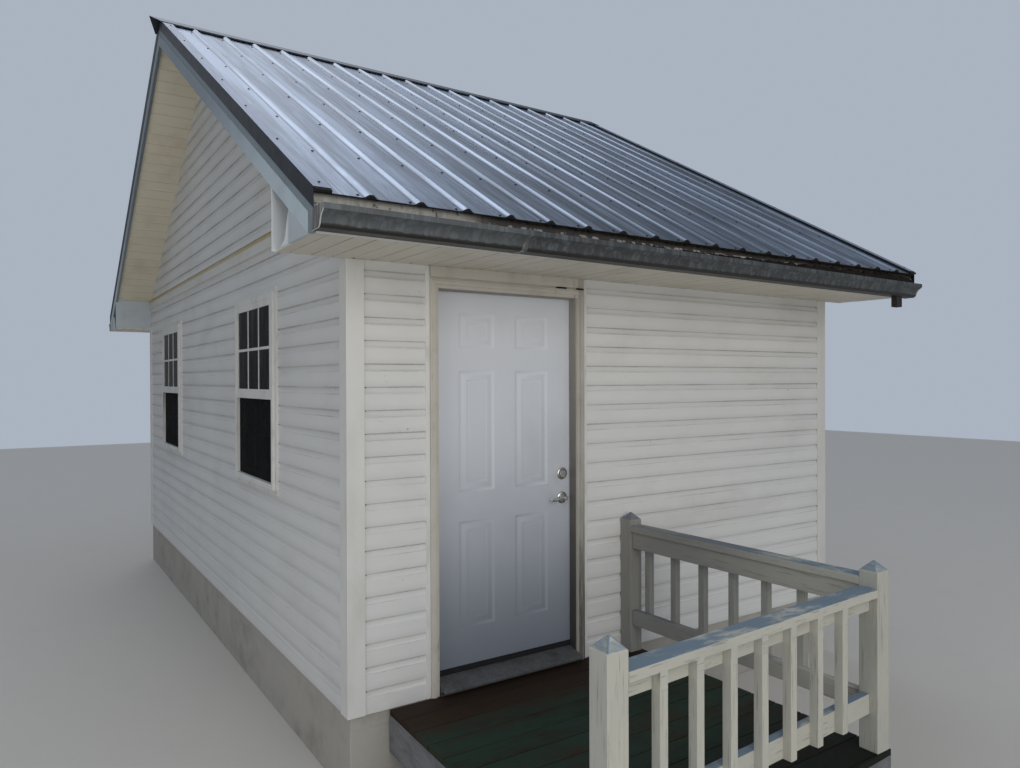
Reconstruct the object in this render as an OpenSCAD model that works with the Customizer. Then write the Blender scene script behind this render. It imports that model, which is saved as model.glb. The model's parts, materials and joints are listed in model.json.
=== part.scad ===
/* [Walls] */
// Width of the building over its wall sheathing
wall_w = 3760; // [3200:10:6000]
// Depth of the building from front to back over its sheathing
wall_d = 6000; // [5800:10:9000]
// Thickness of a stud wall
wall_t = 100; // [95:1:140]

/* [Foundation and floor] */
// Thickness of the concrete foundation wall
foundation_t = 200; // [150:5:300]
// Height of the floor above the lowest ground
floor_z = 430; // [380:5:900]
// Thickness of the floor slab
floor_t = 100; // [80:5:140]
// Distance that the siding hangs down past the floor
siding_drop = 30; // [10:5:60]

/* [Roof] */
// Slope of the roof in degrees
roof_angle = 30.2; // [20:0.1:38]
// Height of the flat strip between the door casing and the eave soffits
head_strip_h = 64; // [44:1:340]
// Height of the eave fascia
fascia_h = 140; // [120:5:190]
// Depth of the rake boards under the roof deck
rake_h = 162; // [150:1:200]
// Thickness of the fascia and rake boards
fascia_t = 20; // [15:1:30]
// Distance of the eave fascia from the wall sheathing
eave_out = 550; // [400:10:650]
// Distance of the left rake board from the wall sheathing
rake_out_left = 368; // [240:2:450]
// Distance of the right rake board from the wall sheathing
rake_out_right = 236; // [180:2:450]
// Thickness of the wooden roof deck with its battens
roof_deck_t = 26; // [9:1:40]
// Depth of a rafter
rafter_h = 140; // [90:5:180]
// Thickness of a rafter and of the ridge board
rafter_t = 38; // [30:1:50]
// Largest distance between rafters
rafter_pitch = 610; // [400:10:800]
// Thickness of a soffit panel
soffit_t = 12; // [8:1:16]
// Distance from the wall to the toe of the plate that closes the side of a boxed eave
return_toe = 134; // [60:2:160]
// Distance from the wall to the waist of that plate, over its toe
return_waist = 196; // [170:2:230]
// Distance from the wall to the upper corner of that plate
return_head = 253; // [240:1:330]

/* [Metal roofing] */
// Distance of the first rib from the left edge of the sheets
rib_start = 239; // [110:1:300]
// Distance between the ribs of the roof sheets
rib_pitch = 228.6; // [150:0.1:305]
// Height of a rib
rib_h = 16; // [12:1:38]
// Width of a rib at its foot
rib_foot_w = 60; // [40:1:80]
// Width of a rib at its top
rib_top_w = 16; // [10:1:30]
// Thickness of the roof sheets and metal trim
sheet_t = 2; // [1.5:0.1:3]
// Distance that the sheets run past the fascia
sheet_overhang = 32; // [20:1:45]
// Width of one wing of the ridge cap
cap_wing = 150; // [120:5:200]
// Width of the rake trim on top of the sheets
rake_flange = 75; // [40:1:76]
// Depth of the rake trim below the underside of the roof deck
rake_leg = 35; // [20:1:80]
// Distance that the ridge cap runs past the roof on the left
cap_out_left = 75; // [0:1:90]
// Distance that the ridge cap runs past the roof on the right
cap_out_right = 12; // [0:1:60]

/* [Gutter] */
// Depth of the gutter trough from back to front
gutter_w = 127; // [100:1:160]
// Height of the gutter
gutter_h = 85; // [75:1:110]
// Width of the lip that turns back over the gutter's trough
gutter_lip = 12; // [6:1:20]
// Height of the gutter's bottom over the soffit at its left end
gutter_lift = 6; // [0:1:10]
// Fall of the gutter from its left end to its right end
gutter_fall = 25; // [0:1:30]
// Distance of the gutter's left end from the edge of the roof
gutter_in_left = 0; // [0:1:60]
// Distance of the gutter's right end from the edge of the roof
gutter_in_right = 86; // [0:1:140]
// Width of the outlet stub
outlet_w = 60; // [50:1:90]
// Depth of the outlet stub from back to front
outlet_d = 43; // [35:1:50]
// Distance of the outlet stub from the fascia
outlet_back = 20; // [6:1:24]
// Length of the outlet stub under the gutter
outlet_drop = 73; // [40:1:140]
// Distance of the outlet from the right end of the gutter
outlet_inset = 166; // [80:10:400]

/* [Siding] */
// Exposed height of one siding course
course_h = 114.3; // [100:0.1:130]
// Thickness of the siding at the butt of a course
siding_butt = 12; // [9:0.5:14]
// Thickness of the siding at the top of a course
siding_top = 4; // [3:0.5:7]
// Height of the flat face of a course
siding_flat = 80; // [60:1:90]
// Width of the face of a corner post
corner_w = 94; // [70:1:120]
// Thickness of a corner post
corner_t = 20; // [17:1:26]
// Height of the band across the gables with its flashing
band_h = 110; // [80:5:130]
// Height of the upright face of the band
band_face = 65; // [50:1:75]
// Thickness of the band across the gables
band_t = 34; // [26:1:45]
// Height of the band's lower edge over the soffit level
band_lift = 230; // [150:5:260]
// Width of the channel round a window
channel_w = 30; // [20:1:40]
// Distance that the channel round a window stands out from the sheathing
channel_t = 26; // [15:1:34]
// Width of the channel beside the door casing
door_channel_w = 24; // [15:1:40]
// Distance that the channel beside the door casing stands out from the sheathing
door_channel_t = 18; // [14:1:24]

/* [Door] */
// Width of the door
door_w = 914; // [760:1:1000]
// Height of the door
door_h = 2032; // [1980:1:2040]
// Thickness of the door
door_t = 44; // [35:1:50]
// Distance of the doorway's middle from the building's middle
doorway_x = -945; // [-1000:1:-840]
// Gap between the door and its stops, its head and its hinged edge
door_gap = 5; // [5:0.5:7]
// Height of the door's foot over the floor
door_lift = 48; // [44:1:60]
// Gap between the door's free edge and the jamb
latch_gap = 7; // [7:0.5:9]
// Distance of the door's inner face from the wall's inner face
door_inset = 1; // [0.5:0.5:4]
// Thickness of the door jamb
jamb_t = 32; // [25:1:40]
// Width of the stop on the jamb
stop_w = 12; // [10:1:16]
// Distance of the casing's inner edge from the face of the stop
casing_reveal = 5; // [2:1:10]
// Width of the door casing
casing_w = 48; // [40:1:60]
// Thickness of the door casing
casing_t = 30; // [26:1:38]
// Drop of the casing's inner edge below its face
casing_inner_step = 8; // [3:1:12]
// Drop of the casing's outer edge below its face
casing_outer_step = 5; // [2:1:12]
// Height of the lever over the floor
lever_z = 915; // [850:5:1050]
// Height of the deadbolt over the lever
deadbolt_rise = 141; // [120:1:180]
// Distance of the lock from the door's edge
backset = 60; // [55:1:75]
// Width of a panel of the door
panel_w = 230; // [200:1:250]
// Distance between the two columns of panels
panel_gap = 132; // [100:1:150]
// Width of the sunk border of a panel
panel_border = 22; // [15:1:30]
// Depth of the sunk border of a panel
panel_sink = 6; // [4:0.5:9]
// Distance that the sill stands out from the sheathing
sill_nose = 72; // [45:1:90]
// Height of the sill's front edge over the deck
sill_rise = 40; // [30:1:50]
// Length of the lever
lever_len = 105; // [80:1:120]
// Radius of the round plate under the lever
rose_r = 35; // [28:1:38]
// Radius of the deadbolt's ring
bolt_r = 36; // [25:1:38]
// Radius of the lever's spindle
spindle_r = 6; // [4:0.5:7]
// Running gap around the spindle and between hinge knuckles
running_gap = 0.3; // [0.2:0.05:0.4]
// Radius of a hinge knuckle
knuckle_r = 6.5; // [5:0.5:7]
// Length of a hinge knuckle
knuckle_h = 30; // [20:1:34]
// Distance of the top and bottom hinges from the ends of the door
hinge_inset = 200; // [120:5:300]

/* [Windows] */
// Width of a window over its frame
window_w = 905; // [700:5:1000]
// Height of a window over its frame
window_h = 1208; // [1100:1:1250]
// Height of a window's lower edge over the floor
window_z = 936; // [850:1:960]
// Distance of the front windows' middle from the front
window_front_y = 1588; // [1400:1:2000]
// Distance of the back windows' middle from the back
window_back_y = 1385; // [1000:1:1400]
// Width of the face of a window frame
window_rim = 34; // [28:1:45]
// Width of the face of a sash
sash_rim = 40; // [30:1:50]
// Depth of a window frame
window_t = 95; // [85:1:110]
// Distance that a window frame stands out from the sheathing
window_proud = 40; // [30:1:45]
// Height of the meeting rail
meeting_h = 62; // [50:1:80]
// Height of the meeting rail's lower edge over the window's lower edge
meeting_z = 551; // [500:1:600]
// Width of a grille bar
grille_w = 18; // [12:1:25]

/* [Deck] */
// Height of the deck over the lowest ground
deck_z = 400; // [360:5:860]
// Distance of the deck's left back corner from the building's middle
deck_left = 1680; // [1600:10:1800]
// Distance of the near post's left side from the building's middle
near_post_x = 1726; // [1600:1:1800]
// Distance of the near post's front face from the sheathing
near_post_out = 1710; // [1500:5:1800]
// Distance of the far post's front face from the sheathing
far_post_out = 1620; // [1570:5:1800]
// Distance of the far post's left side from the building's middle
far_post_x = 110; // [50:5:160]
// Distance of the wall post's left side from the building's middle
wall_post_x = 155; // [100:5:200]
// Width of a deck board
board_w = 140; // [90:1:150]
// Thickness of a deck board
board_t = 28; // [22:1:38]
// Gap between deck boards
board_gap = 5; // [3:1:8]
// Height of a deck joist and of the rim
joist_h = 184; // [140:1:235]
// Thickness of a joist and of the rim
joist_t = 38; // [32:1:45]
// Distance that the deck runs past the posts on the right
deck_margin = 15; // [5:1:40]

/* [Railing] */
// Side of a square post
post_w = 89; // [80:1:110]
// Height of a post's shoulder over the deck
post_h = 790; // [760:5:1000]
// Height of a post's pointed top
post_point = 46; // [8:1:60]
// Height of the front railing's cap over the deck
rail_z = 720; // [650:5:740]
// Height of the side railing's cap over the deck
side_rail_z = 760; // [650:5:770]
// Thickness of a rail board
rail_t = 38; // [30:1:45]
// Height of the board under the front railing's cap
apron_h = 64; // [50:1:90]
// Height of the board under the side railing's cap
side_apron_h = 98; // [50:1:110]
// Height of the bottom rail
bottom_rail_h = 89; // [70:1:100]
// Height of the bottom rail's lower edge over the deck
bottom_rail_z = 165; // [80:5:200]
// Side of a square baluster
baluster_w = 38; // [30:1:45]
// Distance between the front railing's balusters
baluster_pitch = 184; // [120:1:184]
// Distance of the front railing's first baluster from the near post
baluster_start = 149; // [90:1:160]
// Distance between the side railing's balusters
side_baluster_pitch = 203; // [120:1:203]
// Distance of the side railing's first baluster from the far post
side_baluster_start = 112; // [80:1:112]
// Number of balusters of each railing
baluster_count = 7; // [5:1:7]

/* [Hidden] */
$fn = 48;

// Colours of the finishes
white_vinyl = [0.86, 0.87, 0.87];
cream_vinyl = [0.80, 0.78, 0.70];
aged_casing = [0.74, 0.71, 0.61];
charcoal_metal = [0.25, 0.27, 0.30];
roof_metal = [0.47, 0.49, 0.54];
aged_gutter = [0.50, 0.49, 0.47];
raw_wood = [0.66, 0.53, 0.38];
wall_board = [0.78, 0.76, 0.71];
concrete = [0.60, 0.60, 0.58];
door_paint = [0.80, 0.83, 0.88];
satin_steel = [0.70, 0.70, 0.70];
glass_tint = [0.16, 0.19, 0.21];
screen_dark = [0.10, 0.10, 0.11];
brown_boards = [0.33, 0.27, 0.21];
rail_paint = [0.80, 0.79, 0.72];

// Door geometry
door_setback = wall_t - door_t - door_inset;
jamb_half = (door_gap + door_w + latch_gap) / 2;
hinge_edge = doorway_x - jamb_half + door_gap;
free_edge = hinge_edge + door_w;
door_mid = (hinge_edge + free_edge) / 2;
door_foot = floor_z + door_lift;
door_top = door_foot + door_h;
head_z = door_top + door_gap;
opening_half = jamb_half + jamb_t;
opening_top = head_z + jamb_t;
casing_inner = jamb_half - stop_w + casing_reveal;
casing_under = head_z - stop_w + casing_reveal;
casing_half = casing_inner + casing_w;
casing_top = casing_under + casing_w;
hinge_x = hinge_edge - door_gap / 2;
hinge_y = wall_t + knuckle_r + 0.5;
leaf_t = (door_gap - running_gap) / 2;
lock_x = free_edge - backset;
lever_mid = floor_z + lever_z;
// Rows of the door's panels, as height over the door's foot and height of the panel
panel_rows = [[222, 575], [952, 655], [1727, 188]];

// Roof geometry; the heights of the sloping layers are measured upright from the rafters' upper edges
seat = 0.3;
soffit_z = casing_top + head_strip_h;
half_w = wall_w / 2;
ridge_y = wall_d / 2;
slope = tan(roof_angle);
rafter_v = rafter_h / cos(roof_angle);
sheet_v = sheet_t / cos(roof_angle);
deck_top = seat + roof_deck_t / cos(roof_angle);
sheet_low = deck_top + seat;
sheet_top = sheet_low + sheet_v;
rib_top = sheet_top + rib_h / cos(roof_angle);
sheet_out = eave_out + sheet_overhang * cos(roof_angle);
roof_left = -half_w - rake_out_left;
roof_right = half_w + rake_out_right;
roof_len = roof_right - roof_left;
ridge_gap = 1;
plate_z = roof_z(wall_t) - rafter_v - seat;
siding_foot = floor_z - siding_drop;
rake_under = fascia_h - soffit_t;
gutter_len = roof_len - gutter_in_left - gutter_in_right;

// Window geometry, with depths measured inwards from the front of a window's frame
window_rise = floor_z + window_z;
window_ys = [window_front_y, wall_d - window_back_y];
pane_t = 4;
upper_sash_in = 3;
upper_pane_in = 11;
screen_in = 25;
lower_sash_in = 45;
lower_pane_in = 53;
sash_t = 32;
light_w = window_w - 2 * window_rim;
pane_w = light_w - 2 * sash_rim;
meeting_low = window_rise + meeting_z;
meeting_top = meeting_low + meeting_h;
light_low = window_rise + window_rim;
light_top = window_rise + window_h - window_rim;

// Deck geometry
joist_top = deck_z - board_t;
wall_clear = siding_butt + 2;
near_post = [-near_post_x, -near_post_out];
far_post = [-far_post_x, -far_post_out];
wall_post = [-wall_post_x, -wall_clear - post_w];

// Height of the underside of the roof deck at a distance y from the front sheathing
function roof_z(y) = soffit_z + fascia_h + (min(y, wall_d - y) + eave_out) * slope;

// Outline of a band that follows both slopes between two heights over the deck's underside
function chevron(low, high, out) = [
    [-out, roof_z(-out) + low], [ridge_y, roof_z(ridge_y) + low], [wall_d + out, roof_z(-out) + low],
    [wall_d + out, roof_z(-out) + high], [ridge_y, roof_z(ridge_y) + high], [-out, roof_z(-out) + high]
];

// Extrude an outline drawn in y and z along x
module along_x(x0, x1) {
    translate([x0, 0, 0]) rotate([90, 0, 90]) linear_extrude(x1 - x0) children();
}

// Extrude an outline drawn in x and z along y
module along_y(y0, y1) {
    translate([0, y1, 0]) rotate([90, 0, 0]) linear_extrude(y1 - y0) children();
}

// A box given by its lowest and highest corners
module block(low, high) {
    translate(low) cube(high - low);
}

// The same shape at the front and, mirrored, at the back
module front_and_back() {
    children();
    at_back() children();
}

module at_back() {
    translate([0, wall_d, 0]) mirror([0, 1, 0]) children();
}

// Foundation ring down to the lowest ground
module foundation() {
    color(concrete) difference() {
        block([-half_w, 0, 0], [half_w, wall_d, floor_z - floor_t]);
        block([-half_w + foundation_t, foundation_t, -1],
              [half_w - foundation_t, wall_d - foundation_t, floor_z]);
    }
}

module floor_slab() {
    color(concrete) block([-half_w, 0, floor_z - floor_t], [half_w, wall_d, floor_z]);
}

// Front wall beside and over the doorway
module front_wall_left() {
    color(wall_board)
        block([-half_w + wall_t, 0, floor_z], [doorway_x - opening_half, wall_t, plate_z]);
}

module front_wall_right() {
    color(wall_board)
        block([doorway_x + opening_half, 0, floor_z], [half_w - wall_t, wall_t, plate_z]);
}

module front_wall_header() {
    color(wall_board)
        block([doorway_x - opening_half, 0, opening_top], [doorway_x + opening_half, wall_t, plate_z]);
}

module back_wall() {
    color(wall_board)
        block([-half_w + wall_t, wall_d - wall_t, floor_z], [half_w - wall_t, wall_d, plate_z]);
}

// Gable wall up to the roof deck, with its two windows cut through
module gable_wall() {
    difference() {
        along_x(-half_w, -half_w + wall_t) polygon([
            [0, floor_z], [wall_d, floor_z], [wall_d, roof_z(wall_d)], [ridge_y, roof_z(ridge_y)],
            [0, roof_z(0)]
        ]);
        for (y = window_ys)
            block([-half_w - 1, y - window_w / 2, window_rise],
                  [-half_w + wall_t + 1, y + window_w / 2, window_rise + window_h]);
        gable_wall_ridge_notch();
    }
}

// Pocket for the end of the ridge board
module gable_wall_ridge_notch() {
    block([-half_w + wall_t / 2, ridge_y - rafter_t / 2, roof_z(ridge_y) - rafter_v],
          [-half_w + wall_t + 1, ridge_y + rafter_t / 2, roof_z(ridge_y) + 1]);
}

module left_wall() {
    color(wall_board) gable_wall();
}

module right_wall() {
    color(wall_board) mirror([1, 0, 0]) gable_wall();
}

// Roof frame
module ridge_board() {
    color(raw_wood) difference() {
        block([-half_w + wall_t / 2, ridge_y - rafter_t / 2, roof_z(ridge_y) - rafter_v],
              [half_w - wall_t / 2, ridge_y + rafter_t / 2, roof_z(ridge_y)]);
        along_x(-half_w, half_w) polygon([
            [ridge_y - rafter_t, roof_z(ridge_y - rafter_t)], [ridge_y, roof_z(ridge_y)],
            [ridge_y + rafter_t, roof_z(ridge_y - rafter_t)], [ridge_y + rafter_t, roof_z(ridge_y) + 1],
            [ridge_y - rafter_t, roof_z(ridge_y) + 1]
        ]);
    }
}

// Side view of one rafter, with its seat on the wall plate and its level tail
module rafter_outline() {
    tail_y = -eave_out + fascia_t;
    top_y = ridge_y - rafter_t / 2;
    difference() {
        polygon([
            [tail_y, roof_z(tail_y) - rafter_v], [top_y, roof_z(top_y) - rafter_v],
            [top_y, roof_z(top_y)], [tail_y, roof_z(tail_y)]
        ]);
        translate([0, floor_z]) square([wall_t, plate_z + seat - floor_z]);
        translate([tail_y - 1, floor_z]) square([1 - tail_y, soffit_z + soffit_t - floor_z]);
    }
}

module rafters() {
    inner = wall_w - 2 * wall_t - rafter_t;
    bays = ceil(inner / rafter_pitch);
    color(raw_wood) front_and_back()
        for (i = [0 : bays])
            translate([(i / bays - 0.5) * inner, 0, 0]) along_x(-rafter_t / 2, rafter_t / 2) rafter_outline();
}

// Both slopes of the wooden roof deck
module roof_deck() {
    top_y = ridge_y - ridge_gap;
    color(raw_wood) front_and_back() along_x(roof_left, roof_right) polygon([
        [-eave_out, roof_z(-eave_out) + seat], [top_y, roof_z(top_y) + seat],
        [top_y, roof_z(top_y) + deck_top], [-eave_out, roof_z(-eave_out) + deck_top]
    ]);
}

// Places of the ribs across the sheets, as many as fit before the rake trim on the right
function rib_places() = [
    for (x = [rib_start : rib_pitch : roof_len - rake_flange - rib_foot_w / 2]) x
];

// Lower line of the ribbed sheet, drawn across the slope
function sheet_line() = concat(
    [[seat, 0]],
    [for (x = rib_places()) each [
        [x - rib_foot_w / 2, 0], [x - rib_top_w / 2, rib_h],
        [x + rib_top_w / 2, rib_h], [x + rib_foot_w / 2, 0]
    ]],
    [[roof_len - seat, 0]]
);

// Both slopes of ribbed metal roofing
module roof_panels() {
    line = sheet_line();
    run = (ridge_y + eave_out) / cos(roof_angle);
    under = [for (i = [len(line) - 1 : -1 : 0]) line[i]];
    above = [for (p = line) [p.x, p.y + sheet_t]];
    color(roof_metal) front_and_back()
        translate([roof_left, -eave_out, roof_z(-eave_out) + sheet_low]) rotate([roof_angle, 0, 0])
            along_y(-sheet_overhang, run - rib_foot_w / 2) polygon(concat(above, under));
}

// Folded cap along the ridge, with a small lip between the ribs at each edge
module ridge_cap() {
    run = cap_wing * cos(roof_angle);
    fall = run * slope;
    lip = rib_h / 2;
    top_z = roof_z(ridge_y) + rib_top + seat;
    out = run + 2 * sheet_t;
    gaps = concat(
        [[roof_left - 2 * cap_out_left, roof_left + rake_flange]],
        [for (x = rib_places()) [roof_left + x - rib_foot_w / 2, roof_left + x + rib_foot_w / 2]],
        [[roof_right - rake_flange, roof_right + 2 * cap_out_left]]
    );
    color(charcoal_metal) difference() {
        along_x(roof_left - cap_out_left, roof_right + cap_out_right) polygon([
            [ridge_y, top_z], [ridge_y - run, top_z - fall], [ridge_y - run, top_z - fall - lip],
            [ridge_y - run - sheet_t, top_z - fall - lip], [ridge_y - run - sheet_t, top_z - fall + sheet_v],
            [ridge_y, top_z + sheet_v + sheet_t * slope], [ridge_y + run + sheet_t, top_z - fall + sheet_v],
            [ridge_y + run + sheet_t, top_z - fall - lip], [ridge_y + run, top_z - fall - lip],
            [ridge_y + run, top_z - fall]
        ]);
        for (gap = gaps)
            block([gap[0], ridge_y - out, top_z - fall - 2 * lip], [gap[1], ridge_y + out, top_z - fall]);
    }
}

// Folded metal trim over the edge of the sheets: an outer leg, a flange as high as the ribs, an inner leg
module rake_trim() {
    along_x(0, sheet_t) polygon(chevron(-rake_leg, rib_top, sheet_out));
    difference() {
        union() {
            along_x(0, rake_flange) polygon(chevron(rib_top - sheet_v, rib_top, sheet_out));
            along_x(rake_flange - sheet_t, rake_flange)
                polygon(chevron(sheet_top + seat, rib_top, sheet_out));
        }
        along_x(sheet_t, rake_flange + 1)
            translate([ridge_y - cap_wing, roof_z(ridge_y) - cap_wing]) square(2 * cap_wing);
    }
}

module rake_trims() {
    color(charcoal_metal) {
        translate([roof_left - sheet_t, 0, 0]) rake_trim();
        translate([roof_right + sheet_t, 0, 0]) mirror([1, 0, 0]) rake_trim();
    }
}

// White boards that close the rakes, from eave to ridge, cut level with the eave soffits
module rake_boards() {
    color(white_vinyl) for (x = [roof_left, roof_right - fascia_t])
        along_x(x, x + fascia_t) intersection() {
            polygon(chevron(-rake_h, 0, eave_out));
            translate([-eave_out, soffit_z]) square([wall_d + 2 * eave_out, roof_z(ridge_y)]);
        }
}

// Sloping soffits under the rake overhangs
module rake_soffits() {
    color(cream_vinyl) {
        along_x(roof_left + fascia_t, -half_w) polygon(chevron(-fascia_h, -rake_under, 0));
        along_x(half_w, roof_right - fascia_t) polygon(chevron(-fascia_h, -rake_under, 0));
    }
}

module eave_fascias() {
    color(white_vinyl) front_and_back()
        block([roof_left + fascia_t, -eave_out, soffit_z],
              [roof_right - fascia_t, -eave_out + fascia_t, soffit_z + fascia_h]);
}

// Level soffits under the eaves, out to the rake boards
module eave_soffits() {
    color(cream_vinyl) front_and_back()
        block([roof_left + fascia_t, -eave_out + fascia_t, soffit_z],
              [roof_right - fascia_t, 0, soffit_z + soffit_t]);
}

// Boxed end of an eave: a side plate under the rake board and an end plate against the gable
module eave_return() {
    toe_h = 0.4 * (return_waist - return_toe);
    along_x(0, fascia_t) polygon([
        [-eave_out + (rake_h + seat - fascia_h) / slope, soffit_z], [-return_toe, soffit_z],
        [-return_waist, soffit_z + toe_h], [-return_waist - toe_h / 2, soffit_z + 2 * toe_h],
        [-return_head, roof_z(-return_head) - rake_h - seat]
    ]);
    eave_return_end(0, fascia_t, soffit_z, rake_h + seat);
}

module eave_return_end(x0, x1, low, under) {
    along_x(x0, x1) polygon([
        [-soffit_t, low], [0, low], [0, roof_z(0) - under], [-soffit_t, roof_z(-soffit_t) - under]
    ]);
}

module eave_returns() {
    color(white_vinyl) front_and_back() {
        translate([roof_left, 0, 0]) eave_return();
        eave_return_end(roof_left + fascia_t, -half_w, soffit_z + soffit_t, fascia_h + seat);
        translate([roof_right - fascia_t, 0, 0]) eave_return();
        eave_return_end(half_w, roof_right - fascia_t, soffit_z + soffit_t, fascia_h + seat);
    }
}

// Outer line of the gutter, from the top of its back round to its front lip
function gutter_line(grow) = [
    [0, gutter_h], [0, -grow], [0.58 * gutter_w, -grow], [0.66 * gutter_w + grow, 0.12 * gutter_h - grow],
    [0.70 * gutter_w + grow, 0.34 * gutter_h - grow], [0.78 * gutter_w + grow, 0.55 * gutter_h - grow],
    [0.92 * gutter_w + grow, 0.70 * gutter_h - grow], [gutter_w + grow, 0.74 * gutter_h],
    [gutter_w + grow, gutter_h]
];

// Gutter trough with its end caps and the stub for a downspout, falling a little to the right
module gutter() {
    wall = sheet_t;
    outlet_x = gutter_len - outlet_inset;
    translate([roof_left + gutter_in_left, -eave_out, soffit_z + gutter_lift + wall])
        rotate([0, asin(gutter_fall / gutter_len), 0]) {
            difference() {
                along_x(0, gutter_len) mirror([1, 0]) polygon(gutter_line(wall));
                along_x(wall, gutter_len - wall) mirror([1, 0]) intersection() {
                    polygon(gutter_line(0));
                    translate([wall, 0]) square([gutter_w, 2 * gutter_h]);
                }
                translate([0, 0, wall / 2]) along_x(wall, gutter_len - wall) mirror([1, 0])
                    translate([wall, gutter_h - wall]) square([gutter_w - wall, wall]);
                outlet_box(outlet_x, wall, -wall - 1, 1);
            }
            translate([0, 0, gutter_h - wall])
                block([0, -gutter_w - wall, 0], [gutter_len, -gutter_w + gutter_lip, wall]);
            difference() {
                outlet_box(outlet_x, 0, -wall - outlet_drop, -wall);
                outlet_box(outlet_x, wall, -wall - outlet_drop - 1, 0);
            }
        }
}

// Box of the outlet stub between two heights, shrunk by a wall thickness
module outlet_box(x, wall, low, high) {
    block([x - outlet_w / 2 + wall, -outlet_back - outlet_d + wall, low],
          [x + outlet_w / 2 - wall, -outlet_back - wall, high]);
}

module gutters() {
    color(aged_gutter) front_and_back() gutter();
}

// Section of the lap siding: flat faces with a hollow under each butt, drawn as thickness and height
function siding_line(low, high) = [
    for (i = [0 : ceil((high - low) / course_h) - 1]) let (foot = low + i * course_h) each [
        [siding_butt, foot], [siding_butt, foot + siding_flat],
        [0.35 * siding_butt + 0.65 * siding_top, foot + 0.7 * siding_flat + 0.3 * course_h],
        [siding_top, foot + 0.95 * course_h], [siding_top, foot + course_h]
    ]
];

module siding_section(low, high) {
    line = siding_line(low, high);
    polygon(concat([[0, low]], line, [[0, line[len(line) - 1].y]]));
}

// Front or back siding between two places along the wall, cut level under the soffit
module wall_siding(x0, x1) {
    intersection() {
        along_x(x0, x1) mirror([1, 0]) siding_section(siding_foot, soffit_z);
        block([x0, -siding_butt - 1, siding_foot], [x1, 0, soffit_z]);
    }
}

module siding_front() {
    color(white_vinyl) {
        wall_siding(-half_w + corner_w - corner_t, doorway_x - casing_half - door_channel_w);
        wall_siding(doorway_x + casing_half + door_channel_w, half_w - corner_w + corner_t);
    }
}

module siding_back() {
    color(white_vinyl) at_back() wall_siding(-half_w + corner_w - corner_t, half_w - corner_w + corner_t);
}

// Height of the underside of the rake soffits at a distance y from the front sheathing
function rake_soffit_z(y) = roof_z(y) - fascia_h - seat;

// Siding of a gable, cut to the rake soffits, the windows and the band
module gable_siding() {
    edge = corner_w - corner_t;
    intersection() {
        translate([-half_w, 0, 0]) along_y(0, wall_d) mirror([1, 0])
            siding_section(siding_foot, roof_z(ridge_y));
        along_x(-half_w - siding_butt - 1, -half_w) difference() {
            polygon([
                [edge, siding_foot], [wall_d - edge, siding_foot], [wall_d - edge, soffit_z],
                [wall_d, soffit_z], [wall_d, rake_soffit_z(0)], [ridge_y, rake_soffit_z(ridge_y)],
                [0, rake_soffit_z(0)], [0, soffit_z], [edge, soffit_z]
            ]);
            for (y = window_ys)
                translate([y - window_w / 2 - channel_w, window_rise - channel_w])
                    square([window_w + 2 * channel_w, window_h + 2 * channel_w]);
            translate([0, soffit_z + band_lift]) square([wall_d, band_h]);
        }
    }
}

module siding_left() {
    color(white_vinyl) gable_siding();
}

module siding_right() {
    color(white_vinyl) mirror([1, 0, 0]) gable_siding();
}

// Channels that take the cut ends of the siding round each window
module window_channels() {
    color(cream_vinyl) each_window() along_x(-half_w - channel_t, -half_w) difference() {
        translate([-window_w / 2 - channel_w, window_rise - channel_w])
            square([window_w + 2 * channel_w, window_h + 2 * channel_w]);
        translate([-window_w / 2, window_rise]) square([window_w, window_h]);
    }
}

// Channels that take the cut ends of the siding beside the door casing
module door_channels() {
    color(cream_vinyl) for (x = [doorway_x - casing_half - door_channel_w, doorway_x + casing_half])
        block([x, -door_channel_t, siding_foot], [x + door_channel_w, 0, soffit_z]);
}

// Vinyl posts round the four corners, from the siding's foot to the soffit
module corner_post() {
    linear_extrude(soffit_z - siding_foot) polygon([
        [-corner_t, -corner_t], [corner_w - corner_t, -corner_t], [corner_w - corner_t, 0],
        [0, 0], [0, corner_w - corner_t], [-corner_t, corner_w - corner_t]
    ]);
}

module corner_posts() {
    color(white_vinyl) front_and_back()
        for (side = [0, 1])
            mirror([side, 0, 0]) translate([-half_w, 0, siding_foot]) corner_post();
}

// Band across each gable at the height of the eaves, with a sloped top, cut to the rake soffits
module gable_band() {
    low = soffit_z + band_lift;
    intersection() {
        translate([-half_w, 0, 0]) along_y(0, wall_d) mirror([1, 0]) polygon([
            [0, low], [band_t, low], [band_t, low + band_face], [siding_top, low + band_h], [0, low + band_h]
        ]);
        along_x(-half_w - band_t - 1, -half_w) polygon([
            [0, low], [wall_d, low], [wall_d, rake_soffit_z(0)], [ridge_y, rake_soffit_z(ridge_y)],
            [0, rake_soffit_z(0)]
        ]);
    }
}

module gable_bands() {
    color(cream_vinyl) for (side = [0, 1]) mirror([side, 0, 0]) gable_band();
}

// Jambs and head of the doorway, with the stop that the door closes against
module door_jamb() {
    stop_d = door_setback - door_gap;
    color(aged_casing) difference() {
        block([doorway_x - opening_half, 0, floor_z], [doorway_x + opening_half, wall_t, opening_top]);
        block([doorway_x - jamb_half + stop_w, -1, floor_z - 1],
              [doorway_x + jamb_half - stop_w, wall_t + 1, head_z - stop_w]);
        block([doorway_x - jamb_half, stop_d, floor_z - 1], [doorway_x + jamb_half, wall_t + 1, head_z]);
    }
}

// Frame round the doorway between two distances from the opening's edge, drawn in x and z
module casing_band(near, far) {
    difference() {
        translate([doorway_x - casing_inner - far, siding_foot])
            square([2 * (casing_inner + far), casing_under + far - siding_foot]);
        translate([doorway_x - casing_inner - near, siding_foot - 1])
            square([2 * (casing_inner + near), casing_under + near - siding_foot + 1]);
    }
}

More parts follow.
